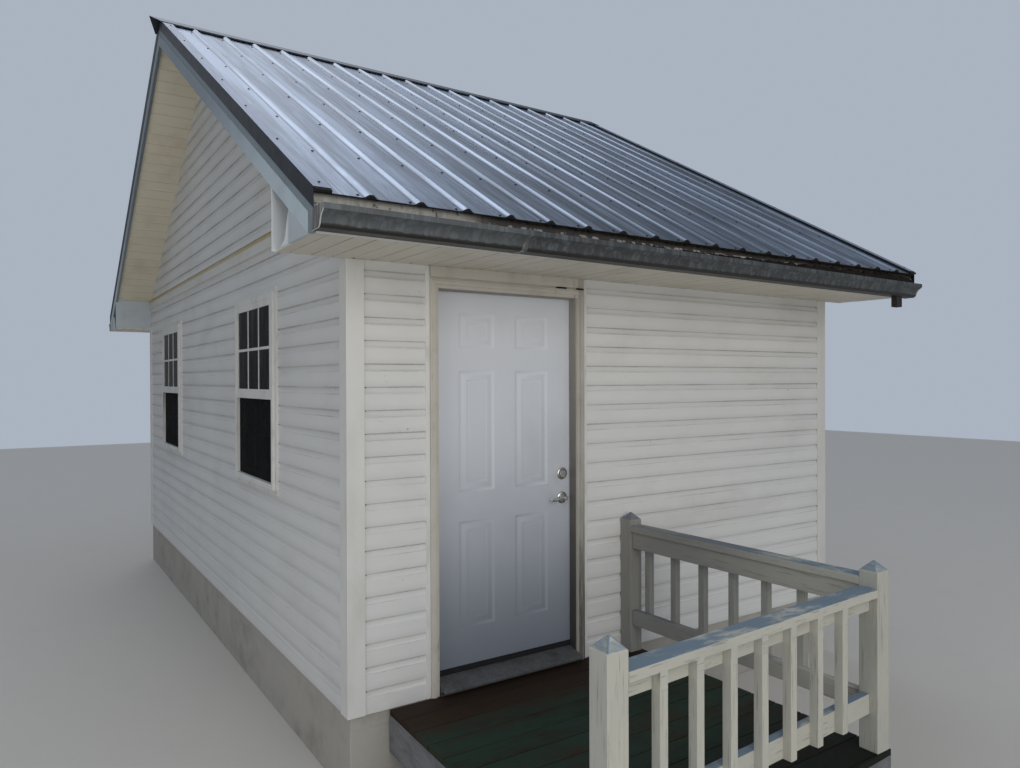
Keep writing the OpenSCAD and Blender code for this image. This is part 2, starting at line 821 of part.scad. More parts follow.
// Stepped casing round the doorway and the flat strip between it and the soffit
module door_casing() {
    inner_lip = 0.35 * casing_w;
    outer_lip = 0.8 * casing_w;
    color(aged_casing) {
        along_y(-casing_t + casing_inner_step, 0) casing_band(0, inner_lip);
        along_y(-casing_t, 0) casing_band(inner_lip, outer_lip);
        along_y(-casing_t + casing_outer_step, 0) casing_band(outer_lip, casing_w);
        block([doorway_x - casing_half, -siding_butt, casing_under], [doorway_x + casing_half, 0, soffit_z]);
    }
}

// Sill under the door, from the deck up to the sweep
module threshold() {
    sweep_h = 10;
    bevel_h = 12;
    bevel_d = 20;
    face_gap = 8;
    nose_t = 15;
    riser_y = 30;
    top = door_foot - sweep_h;
    nose_z = deck_z + sill_rise;
    color(satin_steel) along_x(doorway_x - jamb_half + stop_w, doorway_x + jamb_half - stop_w) polygon([
        [-riser_y, deck_z + seat], [0, deck_z + seat], [0, floor_z], [wall_t, floor_z],
        [wall_t, top - bevel_h], [wall_t - bevel_d, top], [door_setback - face_gap, top],
        [-sill_nose, nose_z], [-sill_nose, nose_z - nose_t], [-riser_y, nose_z - nose_t]
    ]);
}

// Heights of the middles of the three hinges
function hinge_heights() = [door_foot + hinge_inset, door_foot + door_h / 2, door_top - hinge_inset];

// One hinge leaf, its plate running from the stop side of the door to the knuckles
module hinge_leaf(x, knuckles) {
    plate_y = door_setback + door_gap;
    block([x, plate_y, -1.5 * knuckle_h], [x + leaf_t, wall_t - door_inset - 1, 1.5 * knuckle_h]);
    for (k = knuckles) translate([0, 0, (k - 0.5) * knuckle_h]) {
        block([x, plate_y, 0], [x + leaf_t, hinge_y, knuckle_h - running_gap]);
        translate([hinge_x, hinge_y, 0]) cylinder(r = knuckle_r, h = knuckle_h - running_gap);
    }
}

// Leaves and outer knuckles that are screwed to the jamb
module jamb_hinges() {
    color(satin_steel) for (z = hinge_heights())
        translate([0, 0, z]) hinge_leaf(hinge_edge - door_gap, [-1, 1]);
}

// Leaves and middle knuckles that are screwed to the edge of the door
module door_hinges() {
    color(satin_steel) for (z = hinge_heights())
        translate([0, 0, z]) hinge_leaf(hinge_edge - leaf_t, [0]);
}

// Sunk border of one raised panel, sloping down to a groove and up again
module panel_groove(w, h) {
    for (step = [[0, 0.5], [0.25, 1]]) difference() {
        inset = 2 * step[0] * panel_border;
        cube([w - inset, 2 * step[1] * panel_sink, h - inset], center = true);
        cube([w - 2 * panel_border + inset, 3 * panel_sink, h - 2 * panel_border + inset], center = true);
    }
}

module door_slab() {
    color(door_paint) difference() {
        block([hinge_edge, door_setback, door_foot], [free_edge, door_setback + door_t, door_top]);
        for (row = panel_rows, side = [-1, 1])
            translate([door_mid + side * (panel_gap + panel_w) / 2, door_setback,
                       door_foot + row.x + row.y / 2])
                panel_groove(panel_w, row.y);
        translate([lock_x, door_setback - 1, lever_mid]) rotate([-90, 0, 0])
            cylinder(r = spindle_r + 2, h = door_t + 2);
    }
}

// Roses of the lever and both faces of the deadbolt
module lock_plates() {
    rose_t = 9;
    bolt_t = 18;
    faces = [[door_setback, -1], [door_setback + door_t, 1]];
    color(satin_steel) for (face = faces) {
        translate([lock_x, face[0], lever_mid]) rotate([-90 * face[1], 0, 0]) difference() {
            cylinder(r = rose_r, h = rose_t);
            translate([0, 0, -1]) cylinder(r = spindle_r + running_gap, h = rose_t + 2);
        }
        translate([lock_x, face[0], lever_mid + deadbolt_rise]) rotate([-90 * face[1], 0, 0]) {
            cylinder(r = bolt_r, h = bolt_t / 2);
            cylinder(r = 0.6 * bolt_r, h = bolt_t);
        }
    }
}

// Levers on both sides of the door, on one spindle
module door_lever() {
    hub_r = 12;
    bar_r = 9;
    stem = 52;
    reach = door_t + 2 * stem;
    color(satin_steel) translate([lock_x, door_setback + door_t / 2, lever_mid]) {
        rotate([90, 0, 0]) cylinder(r = spindle_r, h = reach, center = true);
        for (side = [-1, 1]) translate([0, side * (reach / 2 - hub_r), 0]) {
            rotate([90, 0, 0]) cylinder(r = hub_r, h = 2 * hub_r, center = true);
            translate([0, side * hub_r / 3, 0]) rotate([0, -90, 0]) cylinder(r = bar_r, h = lever_len);
            translate([-lever_len, side * hub_r / 3, 0]) sphere(r = bar_r);
        }
    }
}

// Extrude an outline drawn in y and z between two depths behind the front of a window's frame
module into_window(near, far) {
    along_x(-half_w - window_proud + near, -half_w - window_proud + far) children();
}

// Rectangle of a given width, centred on a window's middle, between two heights
module upright(w, low, high) {
    translate([-w / 2, low]) square([w, high - low]);
}

// One sash round its pane, with the grille in front of the pane
module sash(low, high, pane_low, pane_high, near, pane_in) {
    mid = (pane_low + pane_high) / 2;
    into_window(near, near + sash_t) difference() {
        upright(light_w, low, high);
        upright(pane_w, pane_low, pane_high);
    }
    into_window(pane_in - pane_t, pane_in) {
        for (i = [-1, 1]) translate([i * pane_w / 6, 0]) upright(grille_w, pane_low, pane_high);
        upright(pane_w, mid - grille_w / 2, mid + grille_w / 2);
    }
}

// Frame, meeting rail and both sashes of one window, the lower one set deeper
module window_unit() {
    into_window(0, window_t) difference() {
        upright(window_w, window_rise, window_rise + window_h);
        upright(light_w, light_low, light_top);
    }
    into_window(upper_sash_in, lower_sash_in + sash_t) upright(light_w, meeting_low, meeting_top);
    sash(meeting_top, light_top, meeting_top, light_top - sash_rim, upper_sash_in, upper_pane_in);
    sash(light_low, meeting_low, light_low + sash_rim, meeting_low, lower_sash_in, lower_pane_in);
}

// The same shape at each of the four windows
module each_window() {
    for (side = [0, 1], y = window_ys) mirror([side, 0, 0]) translate([0, y, 0]) children();
}

module window_frames() {
    color(white_vinyl) each_window() window_unit();
}

// Panes of both sashes
module window_glass() {
    color(glass_tint) each_window() {
        into_window(upper_pane_in, upper_pane_in + pane_t) upright(pane_w, meeting_top, light_top - sash_rim);
        into_window(lower_pane_in, lower_pane_in + pane_t) upright(pane_w, light_low + sash_rim, meeting_low);
    }
}

// Insect screens over the lower sashes
module window_screens() {
    color(screen_dark) each_window()
        into_window(screen_in, screen_in + 2) upright(light_w, light_low, meeting_low);
}

// Corners of the deck, from the wall on the left round to the wall on the right
function deck_corners(inset) = [
    [-deck_left + inset, -wall_clear],
    [-near_post_x + inset, -near_post_out + inset],
    [far_post.x + post_w + deck_margin - inset, -far_post_out + inset],
    [wall_post.x + post_w + deck_margin - inset, -wall_clear]
];

module deck_boards() {
    pitch = board_w + board_gap;
    color(brown_boards) for (i = [0 : ceil(near_post_out / pitch)])
        intersection() {
            translate([0, 0, joist_top]) linear_extrude(board_t) polygon(deck_corners(0));
            block([-2 * deck_left, -wall_clear - board_gap - i * pitch - board_w, joist_top],
                  [2 * deck_left, -wall_clear - board_gap - i * pitch, deck_z]);
        }
}

// Rim and joists under the boards
module deck_frame() {
    bays = 5;
    low = joist_top - joist_h;
    color(rail_paint) intersection() {
        translate([0, 0, low]) linear_extrude(joist_h) polygon(deck_corners(0));
        union() {
            difference() {
                translate([0, 0, low]) linear_extrude(joist_h) polygon(deck_corners(0));
                translate([0, 0, low - 1]) linear_extrude(joist_h + 2) polygon([
                    for (p = deck_corners(joist_t)) [p.x, min(p.y, -wall_clear - joist_t)]
                ]);
            }
            for (i = [1 : bays - 1])
                translate([-deck_left + i * (deck_left - far_post_x + post_w) / bays, 0, 0])
                    block([-joist_t / 2, -near_post_out, low], [joist_t / 2, -wall_clear, joist_top]);
        }
    }
}

// Posts from the deck's rim down to the lowest ground
module deck_supports() {
    low = joist_top - joist_h;
    color(rail_paint) for (p = [
        [-near_post_x, -near_post_out + joist_t],
        [far_post.x + deck_margin, -far_post_out + joist_t],
        [-(near_post_x + far_post_x) / 2, -(near_post_out + far_post_out) / 2 + joist_t]
    ])
        block([p.x, p.y, 0], [p.x + post_w, p.y + post_w, low]);
}

// Square post with a low pointed top
module railing_post() {
    outline = [[0, 0], [post_w, 0], [post_w, post_h], [post_w / 2, post_h + post_point], [0, post_h]];
    intersection() {
        along_x(0, post_w) polygon(outline);
        along_y(0, post_w) polygon(outline);
    }
}

module railing_posts() {
    color(rail_paint) for (p = [near_post, far_post, wall_post])
        translate([p.x, p.y, deck_z]) railing_post();
}

// Railing of a given length: flat cap, board under it, bottom rail and square balusters outside
module railing(length, cap_z, apron, start, pitch) {
    cap_low = deck_z + cap_z - rail_t;
    low = deck_z + bottom_rail_z;
    block([0, 0, cap_low], [length, post_w, cap_low + rail_t]);
    block([0, baluster_w, cap_low - apron], [length, baluster_w + rail_t, cap_low]);
    block([0, baluster_w, low], [length, baluster_w + rail_t, low + bottom_rail_h]);
    for (i = [0 : baluster_count - 1])
        translate([start + i * pitch, 0, low]) cube([baluster_w, baluster_w, cap_low - low]);
}

// Move a railing drawn along x to run from one point to another, with its outside on the right of the way
module from_to(from, to) {
    way = to - from;
    translate([from.x, from.y, 0]) rotate(atan2(way.y, way.x)) children();
}

module front_railing() {
    from = near_post + [post_w - 5, 0];
    to = far_post + [5, 0];
    color(rail_paint) difference() {
        from_to(from, to) railing(norm(to - from), rail_z, apron_h, baluster_start, baluster_pitch);
        for (p = [near_post, far_post])
            translate([p.x, p.y, deck_z]) translate([0, -1, 0]) cube([post_w, post_w + 2, post_h]);
    }
}

module side_railing() {
    from = far_post + [post_w, post_w - 5];
    to = wall_post + [post_w, 5];
    color(rail_paint) difference() {
        from_to(from, to)
            railing(norm(to - from), side_rail_z, side_apron_h, side_baluster_start, side_baluster_pitch);
        for (p = [wall_post, far_post])
            translate([p.x, p.y, deck_z]) translate([-1, 0, 0]) cube([post_w + 2, post_w, post_h]);
    }
}

foundation();
floor_slab();
front_wall_left();
front_wall_right();
front_wall_header();
back_wall();
left_wall();
right_wall();
ridge_board();
rafters();
roof_deck();
roof_panels();
ridge_cap();
rake_trims();
rake_boards();
rake_soffits();
eave_fascias();
eave_soffits();
eave_returns();
gutters();
siding_front();
siding_back();
siding_left();
siding_right();
window_channels();
door_channels();
corner_posts();
gable_bands();
door_jamb();
door_casing();
threshold();
jamb_hinges();
door_slab();
door_hinges();
lock_plates();
door_lever();
window_frames();
window_glass();
window_screens();
deck_boards();
deck_frame();
deck_supports();
railing_posts();
front_railing();
side_railing();
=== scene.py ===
"""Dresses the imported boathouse: finishes for its solids and the finer pieces that sit on them, in metres."""

import json
import logging
import math
from dataclasses import dataclass
from enum import Enum
from typing import Callable, Dict, Iterable, List, Optional, Sequence, Tuple, Union

import bmesh
import bpy
from mathutils import Matrix, Vector

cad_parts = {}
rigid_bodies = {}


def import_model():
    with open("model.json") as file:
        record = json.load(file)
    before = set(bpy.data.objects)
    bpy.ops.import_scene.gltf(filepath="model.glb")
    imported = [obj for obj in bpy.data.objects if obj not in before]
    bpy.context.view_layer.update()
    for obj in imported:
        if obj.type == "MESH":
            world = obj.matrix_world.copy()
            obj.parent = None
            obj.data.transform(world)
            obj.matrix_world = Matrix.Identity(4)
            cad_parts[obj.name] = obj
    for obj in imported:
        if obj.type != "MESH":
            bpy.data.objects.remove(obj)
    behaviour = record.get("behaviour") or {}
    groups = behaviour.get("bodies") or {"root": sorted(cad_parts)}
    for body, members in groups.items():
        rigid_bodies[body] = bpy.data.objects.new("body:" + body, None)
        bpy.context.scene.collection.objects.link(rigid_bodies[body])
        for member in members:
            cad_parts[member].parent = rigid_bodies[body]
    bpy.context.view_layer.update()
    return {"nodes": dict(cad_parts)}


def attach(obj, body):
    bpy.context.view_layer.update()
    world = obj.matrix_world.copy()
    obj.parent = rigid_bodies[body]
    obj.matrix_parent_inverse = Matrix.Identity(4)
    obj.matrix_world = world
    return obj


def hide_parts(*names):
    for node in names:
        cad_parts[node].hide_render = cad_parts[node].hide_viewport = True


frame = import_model()

log = logging.getLogger("boathouse")
Colour = Tuple[float, float, float]
Point2 = Tuple[float, float]
X_AXIS, Y_AXIS, Z_AXIS = Vector((1, 0, 0)), Vector((0, 1, 0)), Vector((0, 0, 1))
FOOT = 0.4
COURSE = 0.1143
RIB_PITCH = 0.2286
STRIP = 0.1016
FIRST_GROOVE = STRIP * 0.6
DEPTH = 6.0
RIDGE_Y = DEPTH / 2
ROOF_LEFT, ROOF_RIGHT = -2.248, 2.116
SOFFIT_LEFT, SOFFIT_RIGHT = -2.228, 2.096
SOFFIT_Z = 2.62
EAVE_OUT = 0.55
PITCH = math.radians(30.2)


class Axis(Enum):
    """The axes that an outline can be drawn out along."""

    X = 0
    Y = 1
    Z = 2


class Body(Enum):
    """The bodies that a piece can ride on."""

    BUILDING = "building"
    DOOR = "door"
    LEVER = "lever"


class Side(Enum):
    """The sides of the ridge; the far one mirrors the near one."""

    NEAR = "near"
    FAR = "far"

    def mirror(self) -> Matrix:
        """Moves what is made for the near side to this side."""
        if self is Side.NEAR:
            return Matrix.Identity(4)
        return Matrix.Translation((0, DEPTH, 0)) @ Matrix.Diagonal((1, -1, 1, 1))


def operator(operation: str, swap: bool = False) -> Callable[["Signal", "Value"], "Signal"]:
    """Make an operator for signals.

    Args:
        operation: the operation of its Math node.
        swap: puts the other value first.

    Returns:
        The operator.
    """

    def act(self: "Signal", other: "Value") -> "Signal":
        """The result of one Math node."""
        pair = (other, self) if swap else (self, other)
        return self.wires.node("ShaderNodeMath", dict(enumerate(pair)), operation=operation)

    return act


class Signal:
    """A value in a node tree that takes Python's operators."""

    __add__ = __radd__ = operator("ADD")
    __sub__ = operator("SUBTRACT")
    __rsub__ = operator("SUBTRACT", swap=True)
    __mul__ = __rmul__ = operator("MULTIPLY")
    __truediv__ = operator("DIVIDE")
    __mod__ = operator("FLOORED_MODULO")
    __lt__ = operator("LESS_THAN")
    most = operator("MAXIMUM")

    def __init__(self, wires: "Wires", socket: bpy.types.NodeSocket) -> None:
        """Keep the socket and the tree that it belongs to."""
        self.wires, self.socket = wires, socket

    def rise(self, low: float, high: float) -> "Signal":
        """Smooth step.

        Args:
            low: the value that gives zero.
            high: the value that gives one; it may be the lower of the two.

        Returns:
            The step.
        """
        ends = (*sorted((low, high)), *((0.0, 1.0) if low < high else (1.0, 0.0)))
        values = dict(zip(("From Min", "From Max", "To Min", "To Max"), ends))
        return self.wires.node("ShaderNodeMapRange", {"Value": self, **values}, interpolation_type="SMOOTHSTEP")


Value = Union[Signal, float]
Shade = Union[Signal, Colour]


class Wires:
    """A node tree under construction."""

    def __init__(self, tree: bpy.types.NodeTree) -> None:
        """Keep the tree."""
        self.tree = tree

    def feed(self, socket: bpy.types.NodeSocket, value: object) -> None:
        """Give a socket a link or a plain value.

        Args:
            socket: the socket.
            value: a signal to link, or the value itself.
        """
        if isinstance(value, Signal):
            self.tree.links.new(value.socket, socket)
        else:
            socket.default_value = value

    def node(self, kind: str, values: Optional[Dict[Union[int, str], object]] = None, out: Union[int, str] = 0,
             **settings: object) -> Signal:
        """Add a node.

        Args:
            kind: the node's type.
            values: what its sockets get, by name or number.
            out: the output that is wanted.
            settings: its properties, set before its sockets.

        Returns:
            That output.
        """
        made = self.tree.nodes.new(kind)
        for key, setting in settings.items():
            setattr(made, key, setting)
        for key, value in (values or {}).items():
            self.feed(made.inputs[key], value)
        return Signal(self, made.outputs[out])

    def axis(self, vector: Signal, name: str) -> Signal:
        """A vector's X, Y or Z."""
        return self.node("ShaderNodeSeparateXYZ", {0: vector}, name)

    def mix(self, amount: Value, first: Shade, second: Shade) -> Signal:
        """A blend of two colours: all of the first at zero, all of the second at one."""
        pair = [c if isinstance(c, Signal) else (*c, 1.0) for c in (first, second)]
        return self.node("ShaderNodeMix", {0: amount, 6: pair[0], 7: pair[1]}, 2, data_type="RGBA")


class Paint(Wires):
    """A material under construction, with patterns on the piece's own coordinates."""

    def __init__(self, name: str, grain: str = "") -> None:
        """Start a material with a Principled shader.

        Args:
            name: the material's name.
            grain: the mesh attribute that its patterns follow, or none for the piece's own coordinates.
        """
        self.material = bpy.data.materials.new(name)
        self.material.use_nodes = True
        super().__init__(self.material.node_tree)
        own = self.node("ShaderNodeTexCoord", out="Object")
        self.x, self.y, self.z = (self.axis(own, letter) for letter in "XYZ")
        self.place = self.node("ShaderNodeAttribute", out="Vector", attribute_name=grain) if grain else own

    def noise(self, scale: float, shift: float, stretch: Sequence[float] = (1, 1, 1), detail: float = 4.0,
              rough: float = 0.6) -> Signal:
        """Cloudy pattern between zero and one.

        Args:
            scale: its spots to a metre.
            shift: its place along the fourth axis, so that two patterns differ.
            stretch: the factor along each axis.
            detail: its finer layers.
            rough: the weight of those layers.

        Returns:
            The pattern.
        """
        place = self.node("ShaderNodeMapping", {"Vector": self.place, "Scale": stretch})
        values = {"Vector": place, "W": shift, "Scale": scale, "Detail": detail, "Roughness": rough}
        return self.node("ShaderNodeTexNoise", values, noise_dimensions="4D")

    def facing_up(self) -> Signal:
        """One on faces that look up, zero on upright ones, less than zero on those that look down."""
        return self.axis(self.node("ShaderNodeNewGeometry", out="Normal"), "Z")

    def done(self, **sockets: object) -> bpy.types.Material:
        """Set the shader's sockets.

        Args:
            sockets: values by socket name, with underscores for spaces.

        Returns:
            The material.
        """
        for key, value in sockets.items():
            self.feed(self.tree.nodes["Principled BSDF"].inputs[key.replace("_", " ")], value)
        return self.material


@dataclass(frozen=True)
class Finish:
    """A finish with soft clouds of grime and a fine relief; its kinds add what they are known by."""

    name: str
    slot: str
    colour: Colour
    grime: Colour
    roughness: float = 0.5
    amount: float = 0.4
    scale: float = 3.0
    stretch: Tuple[float, float, float] = (1, 1, 1)
    grain: float = 60.0
    grain_stretch: Tuple[float, float, float] = (1, 1, 1)
    relief: float = 0.0003
    metallic: float = 0.0
    gloss: float = 0.5
    swing: float = 0.16

    def tone(self, paint: Paint) -> Signal:
        """The surface's colour."""
        clouds = paint.noise(self.scale, len(self.name), self.stretch, 6.0).rise(0.45, 0.8)
        return paint.mix(clouds * self.amount, self.colour, self.grime)

    def height(self, paint: Paint) -> Signal:
        """The pattern of the relief."""
        return paint.noise(self.grain, 2.0 + len(self.name), self.grain_stretch, 3.0, 0.5)

    def sheen(self, paint: Paint) -> Signal:
        """The surface's roughness."""
        return paint.noise(self.scale * 3, 5.0, self.stretch, 3.0, 0.5) * self.swing + (self.roughness - self.swing / 2)

    def canvas(self) -> Paint:
        """A material to work on."""
        return Paint(self.name)

    def dress(self, paint: Paint) -> bpy.types.Material:
        """Put the finish on its canvas."""
        bump = paint.node("ShaderNodeBump", {"Height": self.height(paint), "Distance": self.relief, "Strength": 1.0})
        return paint.done(Base_Color=self.tone(paint), Roughness=self.sheen(paint), Metallic=self.metallic,
                          Specular_IOR_Level=self.gloss, Normal=bump)

    def build(self) -> bpy.types.Material:
        """The finished material, made once."""
        return bpy.data.materials.get(self.name) or self.dress(self.canvas())


@dataclass(frozen=True)
class LapVinyl(Finish):
    """White lap siding: painted shade across each course, lines of painted shadow and dirt at the butts and steps,
    spots of mildew and faint sags in the sheet.
    """

    # line is the colour of the painted shadow and dirt at the butts and steps; shade is the colour of the painted shade
    # across each course.
    line: Colour = (0.17, 0.135, 0.095)
    dust: Colour = (0.56, 0.57, 0.58)
    shade: Colour = (0.36, 0.35, 0.33)

    @staticmethod
    def share(paint: Paint) -> Signal:
        """How far up its course a place is, from zero to one."""
        return ((paint.z - FOOT) % COURSE) / COURSE

    def tone(self, paint: Paint) -> Signal:
        """White with painted shade across each course, painted shadow and dirt at the butts and steps, and spots."""
        patch = paint.noise(2.2, 9.0, (1, 1, 3.0), 5.0)
        ragged = self.share(paint) + (paint.noise(60.0, 2.0, detail=3.0) - 0.5) * 0.10
        # Painted shade: the lower part of each course and its cove above are darkened, more where dirt patches lie.
        foot = ragged.rise(0.34, 0.0) * 0.16
        painted_cove_shade = ragged.rise(0.55, 0.95) * (0.08 + patch * 0.12)
        # Lines of painted shadow and dirt under the butts, along the step and at the top of each course.
        butt_shadow_and_dirt = ragged.rise(0.06, 0.0) * patch.rise(0.40, 0.62) * 0.26
        step = ragged.rise(0.66, 0.69) * ragged.rise(0.73, 0.70) * (patch.rise(0.42, 0.7) * 0.34 + 0.05)
        top = ragged.rise(0.93, 1.0) * (patch.rise(0.38, 0.65) * 0.34 + 0.05)
        spots = paint.noise(34.0, 3.0, (1, 1, 1.6), 2.0, 0.4).rise(0.71, 0.77) * patch.rise(0.5, 0.7)
        drift = paint.noise(0.9, 7.0, (1, 1, 0.6), 2.0, 0.5).rise(0.35, 0.7) * 0.25
        base = paint.mix(foot.most(painted_cove_shade), paint.mix(drift, super().tone(paint), self.dust), self.shade)
        return paint.mix(butt_shadow_and_dirt.most(step).most(top).most(spots * 0.6), base, self.line)

    def height(self, paint: Paint) -> Signal:
        """Sags along the courses and the rolled step above each face, over a fine grain."""
        sag = paint.noise(2.6, 4.0, (0.5, 0.5, 6.0), 2.0, 0.5)
        return sag * 6.0 + self.share(paint).rise(0.84, 0.62) * 9.0 + super().height(paint) * 0.4


@dataclass(frozen=True)
class RoofSteel(Finish):
    """Painted ribbed steel: pale streaks down the slope, partly chalking and partly painted reflection, a dark line of
    painted shade beside each rib, and shallow waves in the flats.
    """

    swing: float = 0.26
    shift: float = 2.009 + RIB_PITCH / 2
    # This pale colour stands for chalky streaks and for painted reflection of the sky.
    pale_streak_and_reflection: Colour = (0.44, 0.52, 0.65)

    def tone(self, paint: Paint) -> Signal:
        """Slate with lighter streaks, partly painted reflection, dust towards the eave and a line of painted shade
        beside each rib.
        """
        wide = paint.noise(9.0, 4.0, (1.0, 0.03, 0.03), 3.0, 0.55).rise(0.42, 0.60) * 0.75
        fine = paint.noise(42.0, 1.0, (1.0, 0.04, 0.04)).rise(0.45, 0.66) * 0.65
        dust = paint.y.rise(0.9, -0.5) * paint.noise(16.0, 6.0, (1, 0.15, 0.15)).rise(0.42, 0.7) * 0.5
        # Painted shade: a dark line beside each rib, mixed in with the dust.
        off = (paint.x + self.shift) % RIB_PITCH - RIB_PITCH / 2
        square = off * off
        beside = square.rise(0.00068, 0.00085) * square.rise(0.00150, 0.00120) * 0.75
        return paint.mix(dust.most(beside), paint.mix(wide.most(fine), super().tone(paint), self.pale_streak_and_reflection), self.grime)

    def height(self, paint: Paint) -> Signal:
        """Shallow waves along the flats."""
        return paint.noise(6.0, 8.0, (1.0, 0.22, 0.22), 2.0, 0.4) * 9.0

    def sheen(self, paint: Paint) -> Signal:
        """Roughness that varies in streaks down the slope."""
        return paint.noise(18.0, 5.0, (1.0, 0.05, 0.05), 3.0, 0.5) * self.swing + (self.roughness - self.swing / 2)


@dataclass(frozen=True)
class EdgeTrim(Finish):
    """Bent rake trim: dark on its hanging leg; on the flange that lies on the sheets, a painted reflection of the sky
    makes it as pale as them.
    """

    # The flange colour and the one after it are painted sky reflection on the faces that look up.
    flange: Colour = (0.25, 0.29, 0.37)
    painted_sky_reflection: Colour = (0.44, 0.50, 0.60)

    def tone(self, paint: Paint) -> Signal:
        """Dark below; painted sky reflection, pale with streaks, on the faces that look up."""
        streaks = paint.noise(42.0, 1.0, (1.0, 0.04, 0.04)).rise(0.3, 0.7) * 0.5
        reflected_top = paint.mix(streaks, self.flange, self.painted_sky_reflection)
        # Painted reflection: faces that look up take the pale colours.
        return paint.mix(paint.facing_up().rise(0.4, 0.7), super().tone(paint), reflected_top)


@dataclass(frozen=True)
class GroovedVinyl(Finish):
    """Soffit vinyl whose grooves between its strips are darkened, partly by dirt and partly as painted shade."""

    across: Axis = Axis.Y
    start: float = FIRST_GROOVE
    dirt: Colour = (0.16, 0.13, 0.09)
    soiled: float = 0.16

    def tone(self, paint: Paint) -> Signal:
        """Cream with grooves darkened by dirt and painted shade, and drip stains."""
        part = ((paint.x if self.across is Axis.X else paint.y) - self.start) % STRIP
        # Painted shade and dirt in the grooves, in the dirt colour.
        groove = part.rise(0.0075, 0.0025).most(part.rise(STRIP - 0.0075, STRIP - 0.0025))
        worn = paint.noise(6.0, 2.0).rise(0.25, 0.6) * self.soiled + 0.06
        return paint.mix(groove * worn, super().tone(paint), self.dirt)


@dataclass(frozen=True)
class StreakedMetal(Finish):
    """Aged metal that rain has streaked from top to bottom: chalky at its left end, soiled at its right one."""

    pale: Colour = (0.52, 0.51, 0.48)
    soot: Colour = (0.05, 0.045, 0.04)
    black: Colour = (0.016, 0.013, 0.010)
    chalk: float = 0.0
    soil: float = 0.0
    low_darkening: float = 0.0

    def tone(self, paint: Paint) -> Signal:
        """Dark metal with pale runs and soot."""
        base = paint.mix(paint.x.rise(-1.22, -1.36) * self.chalk, super().tone(paint), self.pale)
        runs = paint.noise(48.0, 2.0, (1.0, 1.0, 0.035)).rise(0.44, 0.64) * 0.60
        level = paint.z + paint.x * 0.00584 + (paint.noise(30.0, 17.0) - 0.5) * 0.022
        soot = paint.noise(7.0, 12.0, (1.0, 1.0, 0.5), 5.0).rise(0.5, 0.75) * 0.6
        clumps = paint.noise(24.0, 21.0, (1.0, 1.0, 0.6), rough=0.65)
        band = (paint.z + clumps * 0.016).rise(2.752, 2.757)
        clumps = clumps.rise(0.56, 0.66).most(paint.x.rise(-1.62, -1.40) * clumps.rise(0.42, 0.52).most(band))
        # A black band along the bottom edge, and clumps of dirt.
        soiled = (clumps * self.soil).most(level.rise(2.633, 2.626) * self.low_darkening)
        return paint.mix(soiled, paint.mix(soot, paint.mix(runs, base, self.pale), self.soot), self.black)


@dataclass(frozen=True)
class StainedPaint(Finish):
    """Old paint with brown and black stains that grow towards the foot; it can also be darker to the right of a given
    x, and darker all over towards the foot.
    """

    foot: float = FOOT
    reach: float = 1.4
    stain: Colour = (0.13, 0.10, 0.07)
    darker_from: float = 99.0
    foot_darkening: float = 0.0

    def tone(self, paint: Paint) -> Signal:
        """Paint with stains that run down."""
        low = paint.z.rise(self.foot + self.reach, self.foot)
        runs = paint.noise(30.0, 3.0, (1.0, 1.0, 0.14), 5.0, 0.65)
        stain = runs.rise(0.60, 0.74) * (low * 0.55 + 0.35)
        low_darkening = paint.z.rise(self.foot + self.reach * 0.9, self.foot + 0.1)
        # Right of the given x the paint is darker, more so towards the foot.
        side = paint.x.rise(self.darker_from, self.darker_from + 0.01) * (low_darkening * 0.72 + 0.26)
        # Optionally darker all over towards the foot.
        stain = stain.most(side * (runs.rise(0.35, 0.60) * 0.35 + 0.65)).most(low * self.foot_darkening)
        return paint.mix(stain, super().tone(paint), self.stain)


@dataclass(frozen=True, kw_only=True)
class Veiled(Finish):
    """A finish under a second colour that lies where a rule puts it."""

    second: Colour
    rule: Callable[[Paint], Signal]

    def tone(self, paint: Paint) -> Signal:
        """The first colour under the second."""
        return paint.mix(self.rule(paint), super().tone(paint), self.second)


def on_band_top(paint: Paint) -> Signal:
    """Dirt on the sloping top of a gable band."""
    return paint.z.rise(2.907, 2.921) * (paint.noise(7.0, 2.0).rise(0.2, 0.6) * 0.4 + 0.55)


def towards_peak(paint: Paint) -> Signal:
    """What darkens the rake boards as they rise."""
    return paint.z.rise(2.75, 3.9) * 0.85


def painted_light_by_wall(paint: Paint) -> Signal:
    """Painted light: brightens the shaded recess of the boxed eave ends by the front wall."""
    return paint.y.rise(-0.262, -0.235) * paint.y.rise(1.0, 0.5) * 0.9


